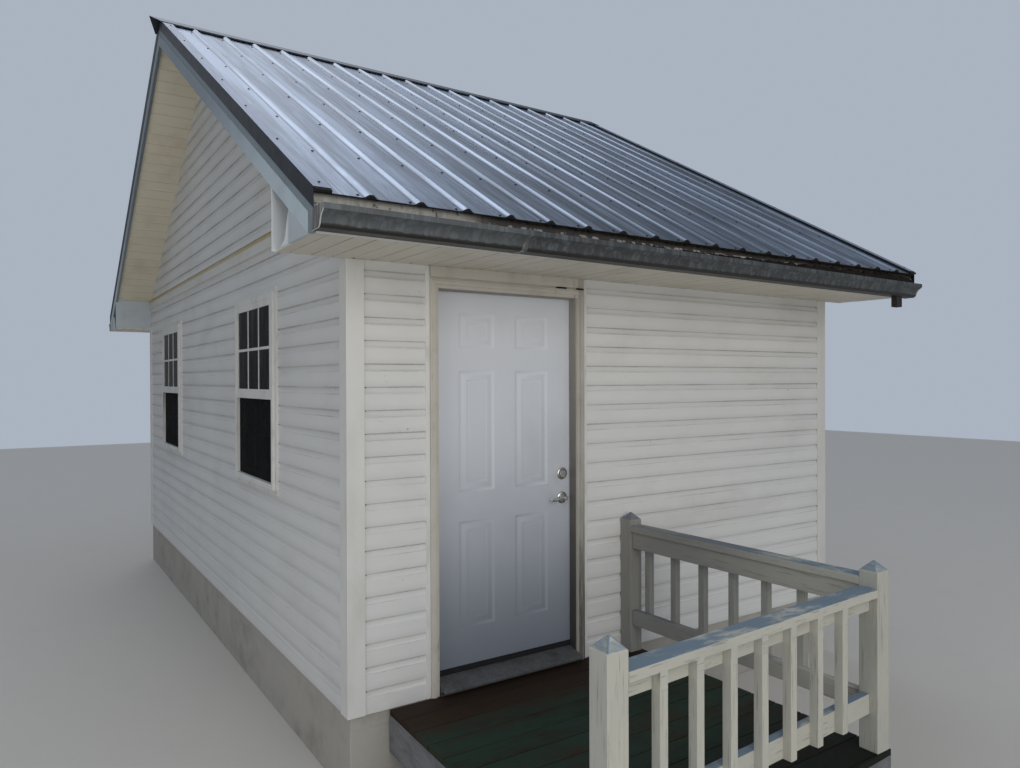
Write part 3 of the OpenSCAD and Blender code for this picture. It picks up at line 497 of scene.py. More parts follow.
@dataclass(frozen=True)
class Timber(Finish):
    """Bare, stained or painted boards: grain and cracks run along each, and each has its own tone."""

    spread: float = 0.35
    crack: Colour = (0.10, 0.09, 0.08)
    cracks: float = 0.5
    patch: Colour = (0.30, 0.30, 0.30)
    patches: float = 0.0
    top: float = 0.0

    def tone(self, paint: Paint) -> Signal:
        """Boards with worn patches, grain and dark cracks."""
        board = paint.node("ShaderNodeAttribute", out="Fac", attribute_name="board")
        upward = paint.facing_up().rise(0.4, 0.8) * self.top
        worn = paint.noise(5.0, 8.0, (0.4, 1, 1), 6.0, 0.7).rise(0.40, 0.54) * (upward + self.patches)
        base = paint.mix(worn, paint.mix(board * self.spread, super().tone(paint), self.grime), self.patch)
        return paint.mix(self.height(paint).rise(0.56, 0.66) * self.cracks, base, self.crack)

    def height(self, paint: Paint) -> Signal:
        """Raised grain."""
        return paint.noise(110.0, 4.0, (0.04, 1, 1), rough=0.65)

    def canvas(self) -> Paint:
        """A material that follows each board's own grain."""
        return Paint(self.name, "grain")

    @staticmethod
    def outwards(paint: Paint, scale: float, spread: float) -> Signal:
        """The place along y with ragged edges, for what changes away from the wall."""
        return paint.y + (paint.noise(scale, 14.0, (0.4, 1, 1), 3.0) - 0.5) * spread


@dataclass(frozen=True)
class DeckStain(Timber):
    """Deck boards: brown by the wall, green with algae further out and soiled in front."""

    algae: Colour = (0.022, 0.050, 0.036)
    soil: Colour = (0.008, 0.008, 0.008)

    def tone(self, paint: Paint) -> Signal:
        """Timber under algae and soil."""
        out = self.outwards(paint, 2.5, 0.7)
        green = out.rise(-0.20, -0.50) * paint.noise(7.0, 15.0, (0.35, 1, 1), 5.0, 0.7).rise(0.30, 0.60)
        base = paint.mix(green * 0.85, super().tone(paint), self.algae)
        return paint.mix(out.rise(-0.9, -1.5) * 0.7, base, self.soil)


@dataclass(frozen=True)
class RailPaint(Timber):
    """Cracked paint on the railings: cream in front, darkened to grey near the wall by painted shade."""

    painted_shade_by_wall: Colour = (0.15, 0.145, 0.145)

    def tone(self, paint: Paint) -> Signal:
        """Timber darkened to grey near the wall by painted shade."""
        # Painted shade: the railing near the wall turns dark grey.
        return paint.mix(self.outwards(paint, 4.0, 0.3).rise(-1.45, -0.5) * 0.62, super().tone(paint), self.painted_shade_by_wall)


@dataclass(frozen=True)
class DoorEnamel(Finish):
    """Door enamel with painted shade that darkens it towards its foot, a dull grain and smudges round the lock."""

    foot: float = 0.478
    shade: Colour = (0.15, 0.175, 0.22)
    lock: Point2 = (-0.549, 1.39)

    def tone(self, paint: Paint) -> Signal:
        """Blue-white that darkens towards the foot with painted shade."""
        # Painted shade: the enamel turns to the shade colour towards the foot.
        low = paint.z.rise(self.foot + 1.5, self.foot - 0.15) * 0.93
        across, up = paint.x - self.lock[0], paint.z - self.lock[1]
        near = (across * across + up * up).rise(0.035, 0.0) * paint.noise(18.0, 6.0).rise(0.4, 0.7)
        return paint.mix(near * 0.35, paint.mix(low, super().tone(paint), self.shade), self.grime)


@dataclass(frozen=True)
class Pane(Finish):
    """Dark glass that mirrors the sky."""

    def dress(self, paint: Paint) -> bpy.types.Material:
        """Nearly opaque, smooth and glossy."""
        dust = paint.noise(22.0, 1.0, (1, 1, 0.10)).rise(0.46, 0.64)
        return paint.done(Base_Color=paint.mix(dust, self.colour, self.grime), Roughness=self.roughness,
                          Alpha=0.995, Specular_IOR_Level=self.gloss)


@dataclass(frozen=True)
class InsectMesh(Finish):
    """Woven screen whose threads close a little more than half of its face."""

    thread: float = 0.0028

    def dress(self, paint: Paint) -> bpy.types.Material:
        """Threads both ways, open between them."""
        weft, warp = (((place % self.thread) / self.thread) < 0.42 for place in (paint.z, paint.y))
        worn = paint.noise(7.0, 1.0, (1, 1, 0.15)).rise(0.45, 0.75) * 0.6
        return paint.done(Base_Color=paint.mix(worn, self.colour, self.grime), Roughness=self.roughness,
                          Specular_IOR_Level=self.gloss, Alpha=weft.most(warp) * 0.22 + 0.62)


WHITE_VINYL = Finish("white_vinyl_trim", "white_vinyl", (0.74, 0.74, 0.72), (0.34, 0.31, 0.26), 0.42, 0.5, 4.0)
CHANNEL = StainedPaint("channel_vinyl_soiled", "white_vinyl", (0.72, 0.72, 0.69), (0.40, 0.36, 0.29), 0.45, 0.5, 5.0,
                       foot=1.30, reach=0.9, stain=(0.26, 0.20, 0.13))
RAKE_LOW = Veiled("rake_vinyl_low", "white_vinyl", (0.56, 0.65, 0.70), (0.30, 0.36, 0.40), 0.42, 0.5, 5.0,
                  second=(0.17, 0.21, 0.24), rule=towards_peak)
RAKE_HIGH = Veiled("rake_vinyl_high", "white_vinyl", (0.22, 0.27, 0.30), (0.13, 0.16, 0.17), 0.42, 0.5, 5.0,
                   second=(0.17, 0.21, 0.24), rule=towards_peak)
# The second colour is painted light on the boxed eave ends' shaded recess by the wall.
RETURN = Veiled("return_vinyl", "white_vinyl", (0.52, 0.58, 0.61), (0.34, 0.36, 0.32), 0.42, 0.5, 7.0,
                second=(0.84, 0.88, 0.90), rule=painted_light_by_wall)
SIDING = LapVinyl("lap_vinyl", "white_vinyl", (0.76, 0.76, 0.74), (0.46, 0.44, 0.40), 0.45, 0.30, 1.6, (1, 1, 2))
SOFFIT_EAVE = GroovedVinyl("soffit_vinyl_eave", "soffit_vinyl", (0.68, 0.64, 0.55), (0.40, 0.36, 0.28), 0.5, 0.5,
                           across=Axis.X, start=SOFFIT_LEFT + FIRST_GROOVE, soiled=0.42)
SOFFIT_RAKE = GroovedVinyl("soffit_vinyl_rake", "soffit_vinyl", (0.74, 0.68, 0.54), (0.50, 0.42, 0.29), 0.5, 0.5)
ROOF = RoofSteel("ribbed_steel", "roof_metal", (0.20, 0.24, 0.30), (0.075, 0.09, 0.11), 0.30, 0.35, 2.0,
                 (1, 0.3, 0.3), metallic=0.8)
RIDGE_TRIM = Finish("charcoal_trim", "dark_trim", (0.060, 0.072, 0.092), (0.10, 0.11, 0.13), 0.34, 0.5, 6.0,
                    metallic=0.7)
RAKE_TRIM = EdgeTrim("charcoal_rake_trim", "dark_trim", (0.014, 0.019, 0.024), (0.030, 0.034, 0.038), 0.42, 0.5, 6.0,
                     metallic=0.5)
GUTTER = StreakedMetal("gutter_metal_streaked", "gutter_metal", (0.052, 0.060, 0.066), (0.025, 0.025, 0.025), 0.5, 0.6,
                       4.0, metallic=0.1, pale=(0.155, 0.170, 0.180), chalk=0.35, low_darkening=0.85)
# The casing is darker on its right leg, more so towards the foot.
CASING = StainedPaint("aged_casing_paint", "aged_casing", (0.57, 0.54, 0.48), (0.34, 0.30, 0.25), 0.6, 0.5, 5.0,
                      stain=(0.070, 0.060, 0.050), darker_from=-0.492)
# Painted shade: the jamb, recessed in the doorway, is a darker copy of the casing paint, and it also turns near black
# towards the foot.
JAMB = StainedPaint("aged_jamb_paint", "aged_casing", (0.31, 0.29, 0.26), (0.17, 0.155, 0.135), 0.6, 0.6, 7.0,
                    reach=2.2, stain=(0.030, 0.029, 0.029), foot_darkening=0.95)
SILL = StreakedMetal("sill_metal_scuffed", "sill_metal", (0.13, 0.135, 0.14), (0.05, 0.05, 0.05), 0.5, 0.5, 9.0,
                     metallic=0.4, pale=(0.19, 0.185, 0.18))
STEEL = Finish("lock_steel", "satin_steel", (0.62, 0.61, 0.59), (0.28, 0.26, 0.24), 0.26, 0.35, 30.0, relief=0.0001,
               metallic=1.0)
DOOR = DoorEnamel("door_enamel", "door_paint", (0.70, 0.73, 0.78), (0.40, 0.41, 0.43), 0.45, 0.35, 1.6, grain=300.0,
                  grain_stretch=(1, 1, 0.1), relief=0.00008)
WINDOW_VINYL = Finish("window_vinyl_white", "window_vinyl", (0.74, 0.74, 0.71), (0.38, 0.35, 0.29), 0.45, 0.5, 6.0)
GLASS = Pane("window_pane", "window_glass", (0.0010, 0.0012, 0.0014), (0.030, 0.034, 0.038), 0.05, gloss=0.03)
SCREEN = InsectMesh("insect_screen", "screen_mesh", (0.008, 0.008, 0.0085), (0.024, 0.023, 0.021), 0.8, gloss=0.1)
DECK = DeckStain("deck_boards_stain", "deck_wood", (0.046, 0.027, 0.016), (0.014, 0.011, 0.009), 0.7, 0.6, 1.6,
                 (0.5, 1, 1), relief=0.0018, gloss=0.12, spread=0.45, cracks=0.85, crack=(0.005, 0.005, 0.005))
RAIL = RailPaint("rail_paint_cracked", "rail_paint", (0.54, 0.53, 0.46), (0.34, 0.34, 0.31), 0.7, 0.5, 7.0,
                 (0.35, 1, 1), relief=0.0010, gloss=0.25, spread=0.3, cracks=0.45, patch=(0.17, 0.23, 0.28),
                 patches=0.08, top=0.95)
# Painted shade and grime: the deck's rim and supports, painted like the rails, are a dark grey copy of that paint.
RIM = Timber("rim_paint_worn", "rail_paint", (0.20, 0.21, 0.22), (0.10, 0.10, 0.10), 0.75, 0.6, 5.0, (0.35, 1, 1),
             relief=0.0010, spread=0.3, cracks=0.7, patch=(0.07, 0.075, 0.08), patches=0.6)
CONCRETE = Finish("foundation_concrete", "concrete", (0.42, 0.40, 0.36), (0.20, 0.18, 0.15), 0.9, 0.6, 4.0,
                  relief=0.002, grain=40.0)
WALL_BOARD = Timber("wall_sheathing", "wall_board", (0.50, 0.42, 0.31), (0.34, 0.27, 0.19), 0.85, 0.5, spread=0.2,
                    cracks=0.2)
RAW_WOOD = Timber("framing_wood", "raw_wood", (0.52, 0.38, 0.23), (0.34, 0.24, 0.14), 0.8, 0.5, spread=0.3, cracks=0.2)
# Near black: the foam closures, sweep and fastener heads, and also painted shadow in gaps, the keyway and the rake
# trims' open ends.
CLOSURE_AND_SHADOW = Finish("closure_foam", "dark_trim", (0.006, 0.006, 0.007), (0.02, 0.02, 0.02), 0.9, 0.5, 20.0)
DRIP = StreakedMetal("drip_edge_metal", "soffit_vinyl", (0.40, 0.39, 0.36), (0.12, 0.11, 0.10), 0.6, 0.7, 8.0,
                     soil=0.92)
CAP_END = StreakedMetal("gutter_end_metal", "gutter_metal", (0.10, 0.10, 0.10), (0.05, 0.045, 0.04), 0.6, 0.6, 9.0)
CAP_LINE = Finish("gutter_end_edge", "gutter_metal", (0.55, 0.56, 0.56), (0.30, 0.28, 0.25), 0.5, 0.6, 20.0)
POST_VINYL = Finish("corner_post_vinyl", "white_vinyl", (0.74, 0.74, 0.71), (0.42, 0.39, 0.33), 0.42, 0.45, 3.0,
                    (1, 1, 0.4))
BAND = Veiled("band_vinyl", "soffit_vinyl", (0.66, 0.66, 0.62), (0.40, 0.35, 0.26), 0.5, 0.5,
              second=(0.47, 0.36, 0.17), rule=on_band_top)
LITTER = Finish("gutter_litter", "gutter_metal", (0.020, 0.016, 0.012), (0.007, 0.006, 0.005), 0.95, 0.7, 30.0,
                gloss=0.1)
FLOOR = Finish("studio_floor", "", (0.60, 0.57, 0.52), (0.55, 0.52, 0.48), 0.9, 0.3)


def put(name: str, data: bpy.types.ID) -> bpy.types.Object:
    """A new object in the scene."""
    made = bpy.data.objects.new(name, data)
    bpy.context.scene.collection.objects.link(made)
    return made


def plain(carrier: bpy.types.Object) -> bpy.types.Mesh:
    """The mesh that an object's modifier gives; the object goes."""
    mesh = bpy.data.meshes.new_from_object(carrier.evaluated_get(bpy.context.evaluated_depsgraph_get()))
    bpy.data.objects.remove(carrier)
    return mesh


def settle(name: str, mesh: bpy.types.Mesh, finish: Finish, body: Body, replaces: Sequence[str] = ()) -> None:
    """Make a mesh a piece of the scene.

    Args:
        name: the piece's name.
        mesh: its mesh, in the row frame.
        finish: its finish.
        body: what it rides on.
        replaces: solids that it stands for.
    """
    mesh.materials.clear()
    mesh.materials.append(finish.build())
    piece = put(name, mesh)
    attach(piece, body.value)
    if replaces:
        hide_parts(*replaces)
    log.info("%s: %d faces on %s", name, len(mesh.polygons), body.value)


def dress(finish: Finish, *nodes: str) -> None:
    """Give solids a finish.

    Args:
        finish: the finish.
        nodes: the solids' names.
    """
    for node in nodes:
        slots = frame["nodes"][node].data.materials
        for index in range(len(slots)):
            slots[index] = finish.build()
        log.info("%s: solid kept, %s", node, finish.name)


def rectangle(left: float, low: float, right: float, high: float) -> List[Point2]:
    """The corners of a rectangle."""
    return [(left, low), (right, low), (right, high), (left, high)]


def circle(steps: int) -> List[Point2]:
    """Cosines and sines round a circle."""
    return [(math.cos(2 * math.pi * i / steps), math.sin(2 * math.pi * i / steps)) for i in range(steps)]


def spans_of(points: Sequence[Vector]) -> List[float]:
    """The lengths of the points' box along x, y and z."""
    return [max(p[i] for p in points) - min(p[i] for p in points) for i in range(3)]


def long_axis(points: Sequence[Vector], otherwise: int) -> int:
    """The axis that the points' box is longest along.

    Args:
        points: the points.
        otherwise: the axis for a box that is about as long along two.

    Returns:
        The axis's number.
    """
    spans = spans_of(points)
    longest = sorted(spans)
    return spans.index(longest[2]) if longest[2] > 1.3 * longest[1] else otherwise


def noise_number(seed: float) -> float:
    """A number between zero and one that only depends on the seed."""
    return (math.sin(seed * 12.9898 + 4.1414) * 43758.5453) % 1.0


def corner_of(board: Sequence[bmesh.types.BMFace]) -> List[float]:
    """A board's low and high corner, to a hundredth of a millimetre."""
    places = [[v.co[i] for face in board for v in face.verts] for i in range(3)]
    return [round(end(line), 5) for end in (min, max) for line in places]


Ring = List[bmesh.types.BMVert]


class Mould:
    """A mesh that is built up from simple shapes in the row frame."""

    def __init__(self) -> None:
        """Start with nothing."""
        self.mesh = bmesh.new()

    def ring(self, points: Iterable[Vector]) -> Ring:
        """New corners."""
        return [self.mesh.verts.new(point) for point in points]

    def join(self, low: Ring, high: Ring) -> None:
        """Faces between two rings."""
        for i in range(len(low)):
            j = (i + 1) % len(low)
            self.mesh.faces.new((low[i], low[j], high[j], high[i]))

    def skin(self, rings: Sequence[Ring]) -> "Mould":
        """Close rings into a skin with both ends covered."""
        for low, high in zip(rings, rings[1:]):
            self.join(low, high)
        self.mesh.faces.new(rings[0][::-1])
        self.mesh.faces.new(rings[-1])
        return self

    def prism(self, outline: Sequence[Point2], axis: Axis, start: float, end: float,
              matrix: Optional[Matrix] = None) -> "Mould":
        """Add an outline drawn out along an axis.

        Args:
            outline: its corners on the other two axes.
            axis: the axis.
            start: where it starts on that axis.
            end: where it ends.
            matrix: moves the result.

        Returns:
            This mould.
        """
        rings = [self.ring(Vector((*pair[:axis.value], at, *pair[axis.value:])) for pair in outline)
                 for at in (start, end)]
        if matrix:
            bmesh.ops.transform(self.mesh, matrix=matrix, verts=rings[0] + rings[1])
        return self.skin(rings)

    def box(self, low: Sequence[float], high: Sequence[float]) -> "Mould":
        """Add a block between two corners."""
        return self.prism(rectangle(*low[:2], *high[:2]), Axis.Z, low[2], high[2])

    def lathe(self, profile: Sequence[Point2], origin: Sequence[float], axis: Vector, steps: int = 40) -> "Mould":
        """Add a turned shape.

        Args:
            profile: radius and distance along the axis, from one end to the other.
            origin: where the axis starts.
            axis: its direction.
            steps: its sides.

        Returns:
            This mould.
        """
        turn = axis.to_track_quat("Z", "Y").to_matrix()
        return self.skin([self.ring(Vector(origin) + turn @ Vector((radius * c, radius * s, along))
                                    for c, s in circle(steps)) for radius, along in profile])

    def tube(self, path: Sequence[Vector], sizes: Sequence[Point2], side: Vector, steps: int = 20) -> "Mould":
        """Add an oval bar that follows a path.

        Args:
            path: its middle line.
            sizes: half widths along the side direction and square to it, one pair to a point.
            side: a direction square to the whole path.
            steps: its sides.

        Returns:
            This mould.
        """
        rings = []
        for i, (point, (wide, high)) in enumerate(zip(path, sizes)):
            tangent = (path[min(i + 1, len(path) - 1)] - path[max(i - 1, 0)]).normalized()
            up = tangent.cross(side).normalized()
            rings.append(self.ring(point + side * (wide * c) + up * (high * s) for c, s in circle(steps)))
        return self.skin(rings)

    def copy_of(self, node: str, radius: float = 0.0, segments: int = 2) -> "Mould":
        """Add a merged copy of a solid, with its outer edges rounded.

        Args:
            node: the solid's name.
            radius: the rounding; zero leaves the edges sharp.
            segments: steps in the rounding.

        Returns:
            This mould.
        """
        self.mesh.from_mesh(frame["nodes"][node].data)
        bmesh.ops.remove_doubles(self.mesh, verts=self.mesh.verts, dist=1e-5)
        bmesh.ops.dissolve_limit(self.mesh, angle_limit=math.radians(1), verts=self.mesh.verts, edges=self.mesh.edges)
        if radius:
            edges = [e for e in self.mesh.edges
                     if len(e.link_faces) == 2 and e.calc_face_angle() > math.radians(30) and e.is_convex]
            bmesh.ops.bevel(self.mesh, geom=edges, offset=radius, segments=segments, profile=0.5, affect="EDGES",
                            clamp_overlap=True)
        return self

    def slice(self, height: float) -> None:
        """Split faces at a level cut, so that rails and balusters have faces of their own, in an order that stays."""
        mesh = self.mesh
        whole = mesh.verts[:] + mesh.edges[:] + mesh.faces[:]
        bmesh.ops.bisect_plane(mesh, geom=whole, dist=1e-5, plane_co=(0, 0, height), plane_no=Z_AXIS)
        for parts, key in ((mesh.verts, lambda vert: vert.co[:]),
                           (mesh.faces, lambda face: (corner_of([face]), round(face.calc_area(), 7)))):
            for index, part in enumerate(sorted(parts, key=key)):
                part.index = index
            parts.sort()

    def boards(self) -> List[List[bmesh.types.BMFace]]:
        """The faces of each separate board, in the order of the boards' places."""
        left = set(self.mesh.faces)
        found = []
        while left:
            stack, board = [left.pop()], []
            while stack:
                board.append(stack.pop())
                pairs = [edge.link_faces for edge in board[-1].edges if len(edge.link_faces) == 2]
                beside = {face for pair in pairs for face in pair} & left
                left -= beside
                stack += beside
            found.append(board)
        return sorted(found, key=corner_of)

    def grain(self, seed: int) -> None:
        """Store coordinates that run along each face's longer side, and a number of its own for each board.

        Args:
            seed: starts the numbers.
        """
        along = self.mesh.loops.layers.float_vector.new("grain")
        own = self.mesh.loops.layers.float.new("board")
        for index, board in enumerate(self.boards()):
            number = noise_number(index * 7.31 + seed)
            shift = Vector((number * 9, number * 5, number * 3))
            board_axis = long_axis([v.co for face in board for v in face.verts], 2)
            for face in board:
                corners = [v.co for v in face.verts]
                spans = spans_of(corners)
                first = long_axis(corners, board_axis if max(spans) < 0.12 else spans.index(max(spans)))
                order = [first] + [i for i in range(3) if i != first]
                for loop in face.loops:
                    loop[along] = Vector([loop.vert.co[i] for i in order]) + shift
                    loop[own] = number

    def piece(self, name: str, finish: Finish, body: Body = Body.BUILDING, replaces: Sequence[str] = (),
              smooth: float = 35.0) -> None:
        """Close the mould into a piece, with flats that look flat beside rounded edges.

        Args:
            name: the piece's name.
            finish: its finish.
            body: what it rides on.
            replaces: solids that it stands for.
            smooth: the angle in degrees up to which edges look round.
        """
        bmesh.ops.recalc_face_normals(self.mesh, faces=self.mesh.faces)
        rough = bpy.data.meshes.new("rough")
        self.mesh.to_mesh(rough)
        self.mesh.free()
        rough.shade_smooth()
        rough.set_sharp_from_angle(angle=math.radians(smooth))
        carrier = put("carrier", rough)
        modifier = carrier.modifiers.new("even", "WEIGHTED_NORMAL")
        modifier.keep_sharp = True
        modifier.weight = 100
        mesh = plain(carrier)
        bpy.data.meshes.remove(rough)
        mesh.name = name
        settle(name, mesh, finish, body, replaces)


def rework(node: str, end: str, finish: Finish, radius: float = 0.0, segments: int = 2, smooth: float = 35.0,
           seed: Optional[int] = None, cuts: Sequence[float] = ()) -> None:
    """Put a copy with rounded edges in a solid's place.

    Args:
        node: the solid's name.
        end: what the copy's name adds to it.
        finish: the copy's finish.
        radius: the rounding; zero leaves the edges sharp.
        segments: steps in the rounding.
        smooth: the angle in degrees up to which edges look round.
        seed: starts the numbers of its boards, if it has a grain.
        cuts: heights at which its faces are split.
    """
    mould = Mould().copy_of(node, radius, segments)
    for height in cuts:
        mould.slice(height)
    if seed is not None:
        mould.grain(seed)
    mould.piece(f"{node}_{end}", finish, replaces=(node,), smooth=smooth)


class HeadGrid(Wires):
    """Geometry Nodes that set fastener heads out in rows."""

    SOCKETS = (("Columns", "Int"), ("Rows", "Int"), ("Column Pitch", "Float"), ("Row Pitch", "Float"),
               ("Radius", "Float"), ("Height", "Float"), ("Drift", "Float"), ("Seed", "Int"), ("Material", "Material"))

    def __init__(self) -> None:
        """Build the tree once: points in rows, a washer and a six-sided head on each, then plain mesh."""
        super().__init__(bpy.data.node_groups.new("head_grid", "GeometryNodeTree"))
        sockets = self.tree.interface
        sockets.new_socket("Geometry", in_out="OUTPUT", socket_type="NodeSocketGeometry")
        self.ids = [sockets.new_socket(name, in_out="INPUT", socket_type="NodeSocket" + kind).identifier
                    for name, kind in self.SOCKETS]
        given = self.tree.nodes.new("NodeGroupInput").outputs
        columns, rows, column_pitch, row_pitch, radius, height, drift, seed, material = (
            Signal(self, given[name]) for name, _ in self.SOCKETS)
        index = self.node("GeometryNodeInputIndex")
        column = index % columns
        place = self.node("ShaderNodeCombineXYZ", {0: column * column_pitch, 1: (index - column) / columns * row_pitch})
        back = drift * -1.0
        ends = [self.node("ShaderNodeCombineXYZ", {0: way, 1: way}) for way in (back, drift)]
        offset = self.random({0: ends[0], 1: ends[1], "Seed": seed})
        line = self.node("GeometryNodeMeshLine", {"Count": columns * rows})
        points = self.node("GeometryNodeSetPosition", {"Geometry": line, "Position": place, "Offset": offset})
        washer = self.disc(10, radius, height * 0.6)
        both = self.node("GeometryNodeJoinGeometry", {0: washer})
        self.feed(both.socket.node.inputs[0], self.disc(6, radius * 0.6, height * 2.0))
        turn = self.random({0: (0, 0, 0), 1: (0, 0, 1.0), "Seed": seed})
        heads = self.node("GeometryNodeInstanceOnPoints", {"Points": points, "Instance": both, "Rotation": turn})
        real = self.node("GeometryNodeRealizeInstances", {0: heads})
        done = self.node("GeometryNodeSetMaterial", {"Geometry": real, "Material": material})
        self.feed(self.tree.nodes.new("NodeGroupOutput").inputs[0], done)

    def random(self, values: Dict[Union[int, str], object]) -> Signal:
        """A random vector for each head, between two limits."""
        return self.node("FunctionNodeRandomValue", values, data_type="FLOAT_VECTOR")

    def disc(self, sides: int, radius: Value, height: Value) -> Signal:
        """A flat prism with that many sides."""
        return self.node("GeometryNodeMeshCylinder", {"Vertices": sides, "Radius": radius, "Depth": height})

    def lay(self, name: str, finish: Finish, matrix: Matrix, count: Tuple[int, int], pitch: Point2, radius: float,
            height: float, drift: float) -> None:
        """Set heads out and keep them as a piece.

        Args:
            name: the piece's name.
            finish: their finish.
            matrix: puts the rows in place: columns along its x, rows along its y, heads up its z.
            count: the columns and rows.
            pitch: steps between columns and between rows.
            radius: a head's radius.
            height: a head's height.
            drift: how far a head may sit off its place.
        """
        carrier = put("carrier", bpy.data.meshes.new("carrier"))
        modifier = carrier.modifiers.new("heads", "NODES")
        modifier.node_group = self.tree
        for socket, value in zip(self.ids, (*count, *pitch, radius, height, drift, len(name), finish.build())):
            modifier[socket] = value
        mesh = plain(carrier)
        mesh.transform(matrix)
        if matrix.determinant() < 0:
            mesh.flip_normals()
        settle(name, mesh, finish, Body.BUILDING)


def plane(origin: Sequence[float], across: Vector, along: Vector) -> Matrix:
    """A matrix whose x and y lie in a plane, in the directions given, and whose z stands on it."""
    columns = Matrix((across, along, across.cross(along))).transposed().to_4x4()
    return Matrix.Translation(origin) @ columns


@dataclass
class Studio:
    """Pale floor, soft light and the camera."""

    place: Tuple[float, float, float] = (-3.246, -3.471, 2.032)
    yaw: float = 0.585
    tilt: float = -0.005
    roll: float = -0.003
    lens: float = 26.692
    sensor: float = 36.0
    floor_half: float = 24.0
    sky: Colour = (0.50, 0.56, 0.66)
    low_sky: Colour = (0.17, 0.18, 0.19)
    dark: Colour = (0.07, 0.075, 0.085)
    glow: Colour = (2.3, 2.4, 2.6)
    glow_way: Tuple[float, float, float] = (0.08, 0.52, 0.85)
    backdrop: Colour = (0.52, 0.58, 0.68)
    strength: float = 0.78
    lamps: Tuple[Tuple, ...] = (("key", (-2.5, -9.0, 4.0), (-0.5, 0, 1.8), 6.0, 290.0, (1.0, 0.96, 0.90)),
                                ("side", (-8.0, -3.0, 2.0), (-1.9, 0.8, 1.2), 4.0, 70.0, (0.98, 0.98, 0.98)))

    def floor(self) -> None:
        """A plain floor at the lowest ground."""
        mesh = bpy.data.meshes.new("floor")
        corners = rectangle(-self.floor_half, -self.floor_half, self.floor_half, self.floor_half)
        mesh.from_pydata([(x, y, 0) for x, y in corners], [], [(0, 1, 2, 3)])
        mesh.materials.append(FLOOR.build())
        put("floor", mesh)

    def world(self) -> None:
        """Sky that is paler overhead, darker to the sides and bright behind the roof."""
        world = bpy.data.worlds.new("studio")
        bpy.context.scene.world = world
        world.use_nodes = True
        wires = Wires(world.node_tree)
        way = wires.node("ShaderNodeTexCoord", out="Generated")
        x, y, z = (wires.axis(way, letter) for letter in "XYZ")
        sky = wires.mix(z.rise(-0.05, 0.6), self.low_sky, self.sky)
        sky = wires.mix(x.rise(0.30, 0.75) * y.rise(0.1, 0.4), sky, self.dark)
        sky = wires.mix(x.rise(-0.35, -0.9) * z.rise(0.6, 0.2), sky, self.dark)
        across, out, up = (place - middle for place, middle in zip((x, y, z), self.glow_way))
        sky = wires.mix((across * across + out * out + up * up).rise(0.16, 0.0), sky, self.glow)
        sky = wires.mix(wires.node("ShaderNodeLightPath", out="Is Camera Ray"), sky, self.backdrop)
        back = world.node_tree.nodes["Background"].inputs
        wires.feed(back["Color"], sky)
        wires.feed(back["Strength"], self.strength)

    def light(self) -> None:
        """Soft square lamps, each with its name, place, aim, side, power in watts and colour."""
        for name, place, aim, size, power, colour in self.lamps:
            data = bpy.data.lights.new(name, "AREA")
            data.size, data.energy, data.color = size, power, colour
            lamp = put(name, data)
            lamp.location = place
            lamp.rotation_euler = (Vector(aim) - Vector(place)).to_track_quat("-Z", "Y").to_euler()

    def camera(self) -> None:
        """The camera that the reference was taken with."""
        data = bpy.data.cameras.new("camera")
        data.lens, data.sensor_width, data.sensor_fit = self.lens, self.sensor, "HORIZONTAL"
        camera = put("camera", data)
        turns = ((-self.yaw, "Z"), (math.pi / 2 + self.tilt, "X"), (self.roll, "Z"))
        yaw, tilt, roll = (Matrix.Rotation(angle, 4, axis) for angle, axis in turns)
        camera.matrix_world = Matrix.Translation(self.place) @ yaw @ tilt @ roll
        bpy.context.scene.camera = camera
        bpy.context.scene.view_settings.view_transform = "Standard"

    def build(self) -> None:
        """Set the studio up."""
        self.floor()
        self.world()
        self.light()
        self.camera()


